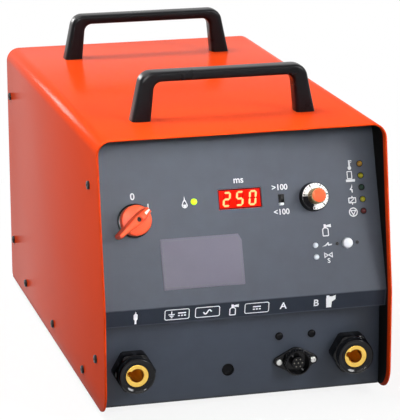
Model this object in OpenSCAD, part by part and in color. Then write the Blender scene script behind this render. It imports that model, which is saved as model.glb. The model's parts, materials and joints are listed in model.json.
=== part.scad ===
// Stud welding power unit: a folded cover over a tray, a raked control panel, a recessed connector
// panel, two bridge handles, and the transformer, rectifier and fan inside.
// Millimetres, +Z up, front towards -Y. The origin is on the floor under the middle of the case.

/* [Case] */
// Width over the cover's two sides
case_w = 280; // [266:1:340]
// Height of the cover from its lower edge to its top
case_h = 260; // [254:1:320]
// Depth of the cover from front edge to back edge
case_d = 485; // [460:1:600]
// Sheet thickness of the cover
cover_t = 2; // [1:0.1:3]
// Outside radius of the cover's two top bends
bend_r = 14; // [8:1:20]
// How far the cover's top front edge is raked back
hood_rake = 24.5; // [5:0.5:40]
// Radius of the cover's lower corners at the back
corner_r = 6; // [2:0.5:12]
// Radius of the cover's lower corners at the front
front_corner_r = 25; // [6:0.5:28]
// Sheet thickness of the tray and the panels
panel_t = 2; // [1:0.1:3]
// Height of the feet under the cover's lower edge
foot_h = 8; // [5:0.5:20]
// Radius of a foot where it meets the tray
foot_r = 15; // [10:0.5:25]
// How far the feet sit in from the cover's sides
foot_inset_x = 42; // [30:1:80]
// How far the feet sit in from the cover's front and back
foot_inset_y = 70; // [50:1:120]

/* [Handles] */
// Length of a handle over its legs
handle_l = 181; // [160:1:220]
// Height of a handle above the cover
handle_h = 47; // [40:0.5:70]
// Depth of a handle from front to back
handle_d = 19; // [14:0.5:26]
// Height of the handle's grip bar
grip_t = 10; // [7:0.5:14]
// Width of a leg at its foot
leg_w = 19; // [14:0.5:26]
// How far the outside of a leg leans inwards over its height
leg_lean = 10; // [2:0.5:16]
// Distance from the cover's front edge to the front handle
front_handle_set = 89; // [80:1:120]
// Distance from the cover's back edge to the rear handle
rear_handle_set = 65; // [45:1:120]

/* [Front panels] */
// Angle by which the control panel leans back
panel_lean = 18.8; // [10:0.1:21]
// How far the control panel's lower edge sits behind the cover's front edge
panel_recess = 10.5; // [8:0.5:20]
// Height of the control panel's lower edge above the cover's lower edge
panel_edge_h = 101; // [96:0.5:105]
// Height of the label strip under the control panel
strip_h = 17; // [12:0.5:18]
// How far the label strip runs back from top to bottom
strip_set = 3.2; // [0:0.1:6]
// How far the connector panel sits behind the cover's front edge
connector_recess = 30.5; // [28:0.5:40]
// How far the rear panel sits inside the cover's back edge
rear_recess = 34; // [31:0.5:42]

/* [Main switch] */
// Distance of the switch axis from the cover's left side
switch_inset = 38; // [34:0.5:46]
// Height of the switch axis up the panel
switch_s = 82; // [75:0.5:100]
// Radius of the switch knob's disc
switch_r = 14.5; // [12:0.5:18]
// Height of the knob's lever over the panel
lever_top = 25; // [20:0.5:30]
// Reach of the lever's tail from the axis
lever_tail = 24.5; // [20:0.5:28]
// Reach of the lever's pointer from the axis
lever_tip = 14.5; // [12.5:0.5:18]
// Angle of the lever, clockwise from straight up
switch_angle = 52; // [30:1:90]

/* [Time setting] */
// Place of the time knob to the right of the middle
time_x = 73; // [66:0.5:85]
// Height of the time knob up the panel
time_s = 92.5; // [88:0.5:100]
// Radius of the knob's skirt
skirt_r = 14; // [11:0.5:16]
// Height of the skirt
skirt_h = 8; // [7:0.5:12]
// Radius of the knob's barrel
barrel_r = 7.6; // [6:0.2:9]
// Height of the barrel's top over the panel
barrel_top = 19.5; // [16:0.5:26]
// Radius of the potentiometer's can
pot_r = 12; // [9:0.5:14]

/* [Display and lamps] */
// Width of the display's window
display_w = 41.8; // [38:0.2:44]
// Height of the display's window
display_h = 18.6; // [17:0.2:24]
// Place of the display to the right of the middle
display_x = 1.4; // [-5:0.2:8]
// Height of the display up the panel
display_s = 96; // [90:0.5:105]
// Height of a digit
digit_h = 14.2; // [10:0.2:15]
// Radius of a lamp
lamp_r = 2.5; // [1.5:0.1:3.2]
// Distance of the status lamps from the cover's right side
lamp_inset = 18.2; // [16:0.2:24]
// Distance of the top status lamp from the panel's top edge
lamp_drop = 44.6; // [38:0.1:52]
// Spacing of the status lamps
lamp_pitch = 11.3; // [8:0.1:13]
// Place of the power lamp to the left of the middle
power_lamp_x = 43.3; // [35:0.1:50]

/* [Range switch and mode button] */
// Place of the range switch to the right of the middle
range_x = 41.9; // [36:0.1:46]
// Height of the range switch up the panel
range_s = 92; // [85:0.5:100]
// Width of the range switch's slot
slot_w = 6.2; // [5:0.1:8]
// Length of the range switch's slot
slot_l = 10.6; // [9:0.1:14]
// Travel of the range switch's slider
range_travel = 4.6; // [2:0.1:5]
// Distance of the mode button from the cover's right side
button_inset = 37.2; // [32:0.2:44]
// Height of the mode button and of the upper mode lamp up the panel
mode_s = 46.6; // [42:0.2:54]
// Radius of the mode button
button_r = 4.8; // [3.5:0.1:6]
// Travel of the mode button
button_travel = 1.5; // [0.5:0.1:2]
// Distance of the mode lamps from the cover's right side
mode_lamp_inset = 68.8; // [60:0.2:76]

/* [Connectors] */
// Distance of each weld socket from the cover's side
socket_inset = 32.8; // [30:0.2:40]
// Height of the weld sockets above the cover's lower edge
socket_s = 36.5; // [32:0.5:46]
// Radius of a weld socket's round collar
socket_r = 17.5; // [15:0.5:20]
// Reach of a weld socket in front of its panel
socket_reach = 23.5; // [18:0.5:26]
// Radius of the brass contact
contact_r = 11; // [9.5:0.1:12]
// Radius of the contact's bore
plug_r = 6.5; // [4:0.1:7]
// Depth of the contact's bore
plug_l = 32; // [20:1:36]
// Distance of the control connector from the right weld socket
connector_set = 53.8; // [50:0.2:60]
// Height of the control connector above the cover's lower edge
connector_s = 31; // [26:0.5:38]
// Radius of the control connector's barrel
connector_r = 13; // [9:0.5:13.5]
// Reach of the control connector's barrel in front of its flange
connector_reach = 8.5; // [5:0.5:14]
// Half the distance between the connector's flange screws
flange_screw_x = 17; // [16.5:0.1:19]
// Place of the gas port's plug to the left of the middle
gas_plug_x = 13.4; // [5:0.2:25]
// Radius of the gas port's plug
gas_plug_r = 6; // [4:0.1:9]

/* [Inside] */
// Gap between the transformer's core and the cover's side
core_side_gap = 38; // [34:1:48]
// Depth of the transformer's core
core_d = 70; // [50:1:80]
// Height of the transformer's core
core_h = 170; // [140:1:180]
// Share of the core's width that a limb takes, which is also a yoke's height
limb_share = 0.175; // [0.15:0.005:0.185]
// Gap between two neighbouring windings
winding_mid_gap = 4.7; // [3:0.1:16]
// Width and height of the fan's frame
fan_w = 119; // [80:1:120]
// Depth of the fan's frame
fan_d = 38; // [32:1:40]
// Gap between the fan's frame and the cover's top
fan_top_gap = 38.5; // [24:0.5:50]
// Width of the rectifier's heat sink
sink_w = 150; // [140:1:180]
// Gap between the transformer's clamps and the heat sink
sink_front_gap = 27; // [10:0.5:40]

/* [Hidden] */

$fn = 48;
// Overrun of a cut past the face that it leaves
over = 1;
// Gap between sheets and blocks that lie side by side
sheet_gap = 0.2;
// Radial gap round a screw, plug or lamp in its hole
hole_gap = 0.15;
// Radial gap of a shaft that turns in its bore
run_gap = 0.05;
// Gap between faces that move past each other
slide_gap = 0.4;
// Steps in a rounded corner
arc_steps = 8;

// Planes of the case
front_y = -case_d / 2;
back_y = case_d / 2;
low_z = foot_h;
top_z = low_z + case_h;
inner_w = case_w - 2 * cover_t;
panel_w = inner_w - 2 * sheet_gap;
floor_z = low_z + panel_t;
edge_y = front_y + panel_recess;
edge_z = low_z + panel_edge_h;
lip_y = edge_y + strip_set;
lip_z = edge_z - strip_h;
connector_y = front_y + connector_recess;
rear_y = back_y - rear_recess;
lean_sin = sin(panel_lean);
lean_cos = cos(panel_lean);
panel_l = (case_h - cover_t - sheet_gap - panel_edge_h) / lean_cos;

// Flanges that the cover is screwed to
flange_d = 18;
tray_flange_h = 28;
tray_screw_h = 16.5;
low_screw_h = 47;
high_screw_drop = 50;
flange_screw_set = 7;
rear_screw_set = 15;
rear_flange_d = 23;
panel_screw_drop = 46.6;
panel_flange_low_s = 25;
panel_flange_top = 22;
tray_screw_shares = [0.13, 0.52, 0.91];
high_screw_h = case_h - high_screw_drop;
panel_screw_s = panel_l - panel_screw_drop;
tray_flange_front_y = connector_y + flange_d + sheet_gap;
tray_flange_back_y = rear_y - panel_t - flange_d - sheet_gap;
tray_flange_l = tray_flange_back_y - tray_flange_front_y;

// Cover screws
cover_screw_r = 2;
cover_screw_l = 9;
cover_head_r = 4;
cover_head_h = 2.2;
socket_key_r = 1.5;
socket_key_d = 1.2;

// Feet
foot_stem_r = 4;
foot_draft = 2;
barb_r = 5.5;
barb_h = 3;

// Handles and their screws
handle_corner_r = 13;
handle_inner_r = 8;
leg_taper_share = 0.35;
handle_edge_r = 4;
handle_screw_r = 3;
handle_screw_depth = 18;
handle_head_r = 5.5;
handle_head_h = 4;
handle_key_r = 2.9;
handle_key_d = 2.4;
handle_hole_x = handle_l / 2 - leg_w / 2;

// Main switch
switch_x = -case_w / 2 + switch_inset;
rosette_r = 16;
rosette_h = 3;
knob_low = rosette_h + slide_gap;
disc_top = 13;
lever_half_w = 4.2;
lever_tail_half_w = 2.6;
lever_tip_half_w = 2.4;
lever_waist_shares = [0.2, 0.55];
switch_shaft_r = 3;
shaft_top = 15;
shaft_depth = 40;
screw_seat = 19;
knob_screw_r = 1.5;
knob_screw_l = 10;
knob_head_r = 2.2;
knob_head_h = 1.8;
knob_recess_r = 2.5;
switch_body_w = 44;
switch_body_d = 52;
switch_body_step = 8;
switch_terminal_w = 8;
switch_terminal_h = 6;
switch_terminal_shares = [-0.3, 0, 0.3];

// Board behind the control panel
board_z = -20;
board_t = 1.6;
board_lamp_margin = 10;
board_right_inset = 12;
board_low_s = 18;
board_top_over = 15;
spacer_r = 3;
spacer_inset = 6;
spacer_mid_share = 0.4;
chip_w = 30;
chip_d = 22;
chip_h = 8;
chip_shares = [0.25, 0.5, 0.75];
lamp_top_s = panel_l - lamp_drop;
board_top_s = lamp_top_s + board_top_over;
board_left_x = -power_lamp_x - board_lamp_margin;
board_right_x = case_w / 2 - board_right_inset;
board_w = board_right_x - board_left_x;
board_l = board_top_s - board_low_s;

// Display
display_set = 0.8;
segment_t = 0.3;
segment_w = 1.9;
segment_gap = 0.25;
digit_w = 7.6;
digit_pitch = 12.6;
digit_slant = 8;

// Time setting
pot_h = 11;
bush_r = 4.7;
bush_top = 4.5;
nut_r = 7;
nut_h = 2.5;
time_shaft_r = 3;
time_shaft_top = 16;
pot_shaft_depth = 8;
skirt_cavity_r = 9.5;
skirt_cavity_top = 5.6;
dial_r = 12.6;
dial_t = 0.8;
cap_r = 6.4;
cap_h = 1.8;
flute_r = 0.7;
flute_count = 18;

// Lamps
lamp_top = 2.8;
lamp_dome_r = 3.4;
lamp_rim_r = 3.2;
lamp_rim_t = 1;
lamp_leg_w = 0.6;
lamp_leg_x = 1.27;
power_lamp_r = 2.9;
status_x = case_w / 2 - lamp_inset;
mode_lamp_pitch = 11.1;
mode_lamp_x = case_w / 2 - mode_lamp_inset;

// Range switch and mode button
slot_d = 5;
housing_side = 1.8;
slider_l = slot_l - range_travel - 2 * sheet_gap;
slider_h = 3;
nub_w = 4;
nub_l = 2.4;
nub_top = 0.6;
button_top = 3.4;
button_low = -3;
button_rim_r = 6.4;
button_rim_t = 1.2;
stem_r = 2;
stem_end = -12;
button_switch_w = 12;
button_switch_top = button_low - button_rim_t - button_travel - slide_gap;
stem_well = stem_end - button_travel - slide_gap;
button_screw_x = 10;
button_screw_r = 1.1;
button_head_r = 1.7;
button_head_h = 0.7;
button_screw_l = 5;
button_x = case_w / 2 - button_inset;

// Name plate
plate_w = 78.5;
plate_h = 47.8;
plate_t = 0.8;
plate_x = -39.8;
plate_s = 39.3;
plate_cut_w = 4.5;
plate_cut_h = 6;

// Weld sockets
socket_x = case_w / 2 - socket_inset;
hex_r = 21;
hex_h = 14;
spigot_r = 14;
spigot_l = 14;
socket_lip_l = 1.6;
socket_lip_r = 13;
nut_hex_r = 20;
socket_nut_h = 6;
contact_back = -20;
key_r = 2.5;
key_reach = 7;
key_l = 12;
key_angle = 160;
stud_r = 5;
stud_l = 18;
stud_nut_r = 9.8;
stud_nut_h = 8;

// Control connector, small plugs and gas port
connector_x = socket_x - connector_set;
flange_t = 3;
flange_half_w = 27.5;
flange_half_h = 14.5;
flange_end_r = 5;
flange_mid_r = 11;
shell_wall = 2;
neck_set = 1;
neck_l = 2;
shell_cavity_r = connector_r - shell_wall;
shell_floor = 1;
shell_back_r = 10.5;
shell_back_l = 16;
insert_r = 6.4;
insert_set = 0.5;
insert_top = flange_t + connector_reach - insert_set;
insert_base_t = 2.5;
pin_r = 0.9;
pin_ring_r = 4;
pin_count = 6;
pin_l = 3;
flange_screw_r = 1.5;
flange_screw_l = 9;
flange_head_r = 2.9;
flange_head_h = 1.8;
flange_key_r = 1.3;
small_plug_x = 16.2;
small_plug_s = 56.2;
small_plug_r = 3.9;
small_plug_top = 2.6;
small_plug_dome_r = 5;
small_plug_stem_r = 2.6;
small_plug_l = 6;
gas_plug_s = 27;
gas_plug_l = 7;
gas_plug_top = 0.4;
gas_recess_r = 4.6;
gas_recess_d = 2.4;

// Transformer
core_lift = 12;
transformer_ahead = 37.5;
winding_gap = 0.4;
winding_end_gap = 1.5;
winding_corner_r = 10;
clamp_t = 4;
clamp_over = 10;
clamp_foot = 28;
clamp_set = 3;
clamp_top_set = 5;
transformer_y = -transformer_ahead;
core_z = floor_z + core_lift;
core_w = inner_w - 2 * core_side_gap;
limb_w = core_w * limb_share;
clamp_h = core_lift + limb_w - clamp_set;
clamp_top_h = limb_w - clamp_top_set;
window_w = (core_w - 3 * limb_w) / 2;
window_h = core_h - 2 * limb_w;
limb_pitch = limb_w + window_w;
winding_t = (window_w - winding_mid_gap) / 2 - winding_gap;
winding_w = limb_w + 2 * winding_gap + 2 * winding_t;
winding_d = core_d + 2 * winding_gap + 2 * winding_t;

// Rectifier
sink_gap_y = 16;
sink_h = 48;
sink_base_t = 8;
sink_fin_t = 3;
sink_fin_count = 12;
module_w = 30;
module_h = 30;
module_margin = 5;
module_shares = [-0.32, 0, 0.32];
sink_back_y = rear_y - panel_t - fan_d - sink_gap_y;
sink_front_y = transformer_y + core_d / 2 + clamp_foot + sink_front_gap;
sink_d = sink_back_y - sink_front_y;
sink_top_z = floor_z + sink_h;
module_top_z = sink_top_z + module_h;

// Bus bars
bar_t = 4;
bar_h = 20;
bar_tab_w = 26;
bar_riser_w = 20;
bar_lap = 14;
bar_tab_y = connector_y - contact_back;
bar_low_z = low_z + socket_s - bar_h / 2;

// Fan
fan_s = case_h - cover_t - fan_top_gap - fan_w / 2;
fan_wall_t = 3.5;
fan_duct_r = fan_w / 2 - fan_wall_t;
fan_motor_r = 20;
fan_motor_l = 16;
fan_strut_w = 6;
fan_strut_t = 4;
fan_hub_r = 21;
fan_hub_l = 15;
fan_pin_r = 3;
fan_pin_l = 10;
fan_tip_gap = 1.5;
blade_t = 2.4;
blade_chord = 22;
blade_pitch = 38;
blade_count = 7;
fan_hole_share = 0.44;
fan_screw_r = 2.1;
fan_screw_head_r = 3.6;
fan_screw_head_h = 2.4;
fan_screw_l = 20;
guard_wire_r = 1.3;
guard_ring_shares = [0.28, 0.52, 0.76, 1];
guard_lug_r = 5;
guard_lug_t = 1.6;
guard_overlap = 0.8;
rear_hole_step = 2;

// Rear panel
vent_count = 9;
vent_w = 5;
vent_h = 38;
vent_pitch = 11;
vent_inset = 74;
vent_x = case_w / 2 - vent_inset;
vent_s = 46;

// Cable gland
gland_inset = 48;
gland_x = gland_inset - case_w / 2;
gland_s = 46;
gland_r = 12.5;
gland_hex_r = 17.5;
gland_hex_h = 7;
gland_thread_l = 14;
gland_nut_h = 5;
gland_bore_r = 7.5;
gland_cap_r = 16;
gland_cap_h = 20;
gland_step = 5;

function unit(v) = v / norm(v);
function left_of(v) = [-v[1], v[0]];

// An open line moved sideways by d, with mitred corners
function moved(pts, d) = [
    for (i = [0 : len(pts) - 1])
        let (
            last = len(pts) - 1,
            a = left_of(unit(pts[max(i, 1)] - pts[max(i, 1) - 1])),
            b = left_of(unit(pts[min(i, last - 1) + 1] - pts[min(i, last - 1)]))
        )
        pts[i] + d * (a + b) / (1 + a * b)
];

// The closed outline of a bent sheet whose outer face follows an open line
function sheet(pts, t) =
    let (inner = moved(pts, t))
    concat(pts, [for (i = [len(pts) - 1 : -1 : 0]) inner[i]]);

// The points of the arc that rounds corner b between a and c
function corner(a, b, c, r) =
    let (
        u = unit(a - b),
        v = unit(c - b),
        half = acos(u * v) / 2,
        middle = b + unit(u + v) * r / sin(half),
        from = b + u * r / tan(half) - middle,
        to = b + v * r / tan(half) - middle,
        start = atan2(from[1], from[0]),
        turn = atan2(to[1], to[0]) - start,
        sweep = turn > 180 ? turn - 360 : turn < -180 ? turn + 360 : turn
    )
    [
        for (i = [0 : arc_steps])
            let (angle = start + sweep * i / arc_steps)
            middle + r * [cos(angle), sin(angle)]
    ];

// A closed outline with each corner rounded by its own radius
function rounded(pts, radii) = [
    for (i = [0 : len(pts) - 1])
        let (n = len(pts))
        each radii[i] > 0 ? corner(pts[(i + n - 1) % n], pts[i], pts[(i + 1) % n], radii[i]) : [pts[i]]
];

// Frames: z of each points out of the face it stands on
module at_panel(x, s) {
    translate([x, edge_y + s * lean_sin, edge_z + s * lean_cos])
        rotate([90 - panel_lean, 0, 0])
            children();
}

module at_front(x, s) {
    translate([x, connector_y, low_z + s])
        rotate([90, 0, 0])
            children();
}

module at_rear(x, s) {
    translate([x, rear_y, low_z + s])
        rotate([-90, 0, 0])
            children();
}

module disc(r, from, to) {
    translate([0, 0, from])
        cylinder(r = r, h = to - from);
}

module hex(r, from, to) {
    translate([0, 0, from])
        cylinder(r = r, h = to - from, $fn = 6);
}

module block(w, d, from, to) {
    translate([-w / 2, -d / 2, from])
        cube([w, d, to - from]);
}

// A side outline in y and z, carried across the case
module across(w) {
    rotate([90, 0, 90])
        translate([0, 0, -w / 2])
            linear_extrude(w)
                children();
}

// A front outline in x and z, carried back from y by d
module along(y, d) {
    translate([0, y + d, 0])
        rotate([90, 0, 0])
            linear_extrude(d)
                children();
}

module arch_outline(w, low, high, r) {
    translate([-w / 2, low])
        square([w, high - low - r]);
    translate([-w / 2 + r, low])
        square([w - 2 * r, high - low]);
    for (side = [-1, 1])
        translate([side * (w / 2 - r), high - r])
            circle(r);
}

// The room under the cover, less a gap
module under_cover() {
    along(front_y, case_d)
        arch_outline(panel_w, low_z, top_z - cover_t - sheet_gap, bend_r - cover_t);
}

// A pan-head screw with a hex key, standing on z = 0
module screw(head_r, head_h, shank_r, shank_l, key_r, key_d) {
    difference() {
        disc(head_r, 0, head_h);
        hex(key_r, head_h - key_d, head_h + over);
    }
    disc(shank_r, -shank_l, 0);
}

function panel_point(s, depth) = [
    edge_y + s * lean_sin + depth * lean_cos,
    edge_z + s * lean_cos - depth * lean_sin
];

// Places of the side screws, in y and z
side_screws = concat(
    [[rear_y + rear_screw_set, low_z + low_screw_h], [rear_y + rear_screw_set, low_z + high_screw_h]],
    [[connector_y + flange_screw_set, low_z + low_screw_h]],
    [panel_point(panel_screw_s, panel_t + flange_screw_set)],
    [for (share = tray_screw_shares) [tray_flange_front_y + share * tray_flange_l, low_z + tray_screw_h]]
);

module at_side_screws() {
    for (side = [-1, 1], place = side_screws)
        translate([side * case_w / 2, place[0], place[1]])
            rotate([0, side * 90, 0])
                children();
}

module at_feet() {
    for (x = [-1, 1], y = [-1, 1])
        translate([x * (case_w / 2 - foot_inset_x), y * (case_d / 2 - foot_inset_y), low_z])
            children();
}

front_handle_y = front_y + front_handle_set;
rear_handle_y = back_y - rear_handle_set - handle_d;

module at_handle_screws() {
    for (x = [-1, 1], y = [front_handle_y, rear_handle_y])
        translate([x * handle_hole_x, y + handle_d / 2, top_z])
            children();
}

module tray() {
    side_x = panel_w / 2;
    color("dimgray")
        difference() {
            union() {
                translate([-side_x, connector_y, low_z])
                    cube([panel_w, rear_y - connector_y, panel_t]);
                for (side = [-1, 1])
                    translate([side * (side_x - panel_t / 2) - panel_t / 2, tray_flange_front_y, low_z])
                        cube([panel_t, tray_flange_l, tray_flange_h]);
            }
            at_side_screws()
                disc(cover_screw_r + run_gap, -cover_screw_l - over, over);
            at_feet()
                disc(foot_stem_r + hole_gap, -over, panel_t + over);
        }
}

module rubber_feet() {
    color([0.06, 0.06, 0.06])
        at_feet() {
            translate([0, 0, -foot_h])
                cylinder(r1 = foot_r - foot_draft, r2 = foot_r, h = foot_h);
            disc(foot_stem_r, 0, panel_t + barb_h);
            disc(barb_r, panel_t, panel_t + barb_h);
        }
}

module connector_panel() {
    line = [
        [connector_y + flange_d, lip_z],
        [connector_y, lip_z],
        [connector_y, floor_z],
        [connector_y + flange_d, floor_z]
    ];
    color([0.26, 0.28, 0.32])
        difference() {
            union() {
                across(panel_w)
                    polygon(sheet(line, panel_t));
                for (side = [-1, 1])
                    translate([side * (panel_w - panel_t) / 2, 0, 0])
                        across(panel_t)
                            polygon([line[0], line[1], line[2], line[3]]);
            }
            at_side_screws()
                disc(cover_screw_r + run_gap, -cover_screw_l - over, over);
            for (side = [-1, 1]) {
                at_front(side * socket_x, socket_s)
                    disc(spigot_r + hole_gap, -panel_t - over, over);
                at_front(connector_x + side * flange_screw_x, connector_s)
                    disc(flange_screw_r + hole_gap, -panel_t - over, over);
                at_front(connector_x + side * small_plug_x, small_plug_s)
                    disc(small_plug_stem_r + hole_gap, -panel_t - over, over);
            }
            at_front(connector_x, connector_s)
                disc(shell_back_r + hole_gap, -panel_t - over, over);
            at_front(-gas_plug_x, gas_plug_s)
                disc(gas_plug_r + hole_gap, -panel_t - over, over);
        }
}

module control_panel() {
    line = [
        panel_point(panel_l, 0),
        [edge_y, edge_z],
        [lip_y, lip_z],
        [connector_y + flange_d, lip_z]
    ];
    flange = [
        panel_point(panel_flange_low_s, 0),
        panel_point(panel_l - panel_flange_top, 0),
        panel_point(panel_l - panel_flange_top, panel_t + flange_d),
        panel_point(panel_flange_low_s, panel_t + flange_d)
    ];
    color([0.37, 0.39, 0.42])
        difference() {
            intersection() {
                union() {
                    across(panel_w)
                        polygon(sheet(line, panel_t));
                    for (side = [-1, 1])
                        translate([side * (panel_w - panel_t) / 2, 0, 0])
                            across(panel_t)
                                polygon(flange);
                }
                under_cover();
            }
            at_side_screws()
                disc(cover_screw_r + run_gap, -cover_screw_l - over, over);
            at_panel(switch_x, switch_s)
                disc(switch_shaft_r + slide_gap, -panel_t - over, over);
            at_panel(time_x, time_s)
                disc(bush_r + hole_gap, -panel_t - over, over);
            at_panel(display_x, display_s)
                block(display_w + 2 * sheet_gap, display_h + 2 * sheet_gap, -panel_t - over, over);
            at_panel(range_x, range_s)
                block(slot_w, slot_l, -panel_t - over, over);
            at_panel(-power_lamp_x, display_s)
                disc(power_lamp_r + hole_gap, -panel_t - over, over);
            for (i = [0 : 4])
                at_panel(status_x, lamp_top_s - i * lamp_pitch)
                    disc(lamp_r + hole_gap, -panel_t - over, over);
            for (i = [0, 1])
                at_panel(mode_lamp_x, mode_s - i * mode_lamp_pitch)
                    disc(lamp_r + hole_gap, -panel_t - over, over);
            at_panel(button_x, mode_s)
                disc(button_r + slide_gap, -panel_t - over, over);
            for (side = [-1, 1])
                at_panel(button_x + side * button_screw_x, mode_s)
                    disc(button_screw_r + hole_gap, -panel_t - over, over);
        }
}

module at_fan_holes() {
    for (x = [-1, 1], y = [-1, 1])
        translate([x * fan_w * fan_hole_share, y * fan_w * fan_hole_share, 0])
            children();
}

module rear_panel() {
    high = top_z - cover_t - sheet_gap;
    line = [
        [rear_y - flange_d, high],
        [rear_y, high],
        [rear_y, floor_z],
        [rear_y - flange_d, floor_z]
    ];
    flange_top = high - bend_r;
    color([0.37, 0.39, 0.42])
        difference() {
            intersection() {
                union() {
                    across(panel_w)
                        polygon(sheet(line, -panel_t));
                    for (side = [-1, 1])
                        translate([side * (panel_w - panel_t) / 2 - panel_t / 2, rear_y - panel_t, floor_z])
                            cube([panel_t, panel_t + rear_flange_d, flange_top - floor_z]);
                }
                under_cover();
            }
            at_side_screws()
                disc(cover_screw_r + run_gap, -cover_screw_l - over, over);
            at_rear(0, fan_s) {
                disc(fan_duct_r - rear_hole_step, -panel_t - over, over);
                at_fan_holes()
                    disc(fan_screw_r + hole_gap, -panel_t - over, over);
            }
            at_rear(gland_x, gland_s)
                disc(gland_r + hole_gap, -panel_t - over, over);
            for (i = [0 : vent_count - 1])
                at_rear(vent_x + (i - (vent_count - 1) / 2) * vent_pitch, vent_s)
                    block(vent_w, vent_h, -panel_t - over, over);
        }
}

module cover() {
    side_line = rounded(
        [
            [front_y, low_z], [front_y, edge_z], [front_y + hood_rake, top_z],
            [back_y, top_z], [back_y, low_z]
        ],
        [front_corner_r, 0, 0, 0, corner_r]
    );
    color([0.9, 0.26, 0.13])
        difference() {
            intersection() {
                along(front_y, case_d)
                    difference() {
                        arch_outline(case_w, low_z, top_z, bend_r);
                        arch_outline(inner_w, low_z - over, top_z - cover_t, bend_r - cover_t);
                    }
                across(case_w)
                    polygon(side_line);
            }
            at_side_screws()
                disc(cover_screw_r + hole_gap, -cover_t - over, over);
            at_handle_screws()
                disc(handle_screw_r + hole_gap, -cover_t - over, over);
        }
}

module cover_screws() {
    color([0.05, 0.05, 0.05])
        at_side_screws()
            screw(cover_head_r, cover_head_h, cover_screw_r, cover_screw_l, socket_key_r, socket_key_d);
}

module handle(y) {
    half = handle_l / 2;
    foot = half - leg_w;
    inner_top = handle_h - grip_t;
    inner_lean = leg_lean * leg_taper_share;
    front_line = rounded(
        [
            [half, 0], [half - leg_lean, handle_h], [leg_lean - half, handle_h], [-half, 0],
            [-foot, 0], [inner_lean - foot, inner_top], [foot - inner_lean, inner_top], [foot, 0]
        ],
        [0, handle_corner_r, handle_corner_r, 0, 0, handle_inner_r, handle_inner_r, 0]
    );
    side_line = rounded(
        [[y, 0], [y, handle_h], [y + handle_d, handle_h], [y + handle_d, 0]],
        [0, handle_edge_r, handle_edge_r, 0]
    );
    color([0.1, 0.1, 0.11])
        difference() {
            translate([0, 0, top_z])
                intersection() {
                    along(y, handle_d)
                        polygon(front_line);
                    across(handle_l)
                        polygon(side_line);
                }
            at_handle_screws()
                disc(handle_screw_r + run_gap, -over, handle_screw_depth + over);
        }
}

module handle_screws() {
    color("gray")
        at_handle_screws()
            translate([0, 0, -cover_t])
                mirror([0, 0, 1])
                    screw(handle_head_r, handle_head_h, handle_screw_r, handle_screw_depth + cover_t,
                        handle_key_r, handle_key_d);
}

module main_switch_rosette() {
    color([0.06, 0.06, 0.06])
        at_panel(switch_x, switch_s)
            difference() {
                disc(rosette_r, 0, rosette_h);
                disc(switch_shaft_r + slide_gap, -over, rosette_h + over);
            }
}

module main_switch_body() {
    color([0.15, 0.15, 0.16])
        at_panel(switch_x, switch_s)
            difference() {
                union() {
                    block(switch_body_w, switch_body_w, -panel_t - switch_body_step, -panel_t);
                    block(switch_body_w - switch_body_step, switch_body_w - switch_body_step,
                        -panel_t - switch_body_d, -panel_t);
                    for (share = switch_terminal_shares)
                        translate([share * switch_body_w, 0, 0])
                            block(switch_terminal_w, switch_body_w, -panel_t - switch_body_d,
                                -panel_t - switch_body_d + switch_terminal_h);
                }
                disc(switch_shaft_r + run_gap, -shaft_depth - over, over);
            }
}

module main_switch_shaft() {
    color("silver")
        at_panel(switch_x, switch_s)
            difference() {
                disc(switch_shaft_r, -shaft_depth, shaft_top);
                disc(knob_screw_r + run_gap, shaft_top - knob_screw_l, shaft_top + over);
            }
}

module lever_outline() {
    tail = lever_tail;
    tip = lever_tip;
    polygon([
        [-lever_tail_half_w, -tail],
        [lever_tail_half_w, -tail],
        [lever_half_w, -tail * lever_waist_shares[0]],
        [lever_half_w, tip * lever_waist_shares[1]],
        [lever_tip_half_w, tip],
        [-lever_tip_half_w, tip],
        [-lever_half_w, tip * lever_waist_shares[1]],
        [-lever_half_w, -tail * lever_waist_shares[0]]
    ]);
}

module main_switch_knob() {
    color([0.85, 0.2, 0.1])
        at_panel(switch_x, switch_s)
            rotate([0, 0, -switch_angle])
                difference() {
                    union() {
                        disc(switch_r, knob_low, disc_top);
                        translate([0, 0, knob_low])
                            linear_extrude(lever_top - knob_low)
                                lever_outline();
                    }
                    disc(switch_shaft_r + run_gap, knob_low - over, shaft_top + run_gap);
                    disc(knob_screw_r + hole_gap, knob_low, screw_seat + over);
                    disc(knob_recess_r, screw_seat, lever_top + over);
                }
}

module main_switch_knob_screw() {
    color([0.2, 0.2, 0.2])
        at_panel(switch_x, switch_s)
            translate([0, 0, screw_seat])
                screw(knob_head_r, knob_head_h, knob_screw_r, knob_screw_l, socket_key_r, socket_key_d);
}

module display_module() {
    color([0.5, 0.02, 0.02])
        at_panel(display_x, display_s)
            block(display_w, display_h, board_z, -display_set);
}

// One bar of a digit, a long hexagon along x or y about a middle
function bar_points(middle, l, upright) = [
    for (p = [
        [-l / 2, 0], [-l / 2 + segment_w / 2, segment_w / 2], [l / 2 - segment_w / 2, segment_w / 2],
        [l / 2, 0], [l / 2 - segment_w / 2, -segment_w / 2], [-l / 2 + segment_w / 2, -segment_w / 2]
    ])
        let (q = middle + (upright ? [p[1], p[0]] : p))
        [q[0] + q[1] * tan(digit_slant), q[1]]
];

// Bars of a digit in halves of its inner width and height: x, y and whether the bar stands
bar_shares = [[0, 1, 0], [1, 0.5, 1], [1, -0.5, 1], [0, -1, 0], [-1, -0.5, 1], [-1, 0.5, 1], [0, 0, 0]];
// The bars that are lit for the digits 2, 5 and 0
lit_bars = [[0, 1, 6, 4, 3], [0, 5, 6, 2, 3], [0, 1, 2, 3, 4, 5]];

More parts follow.
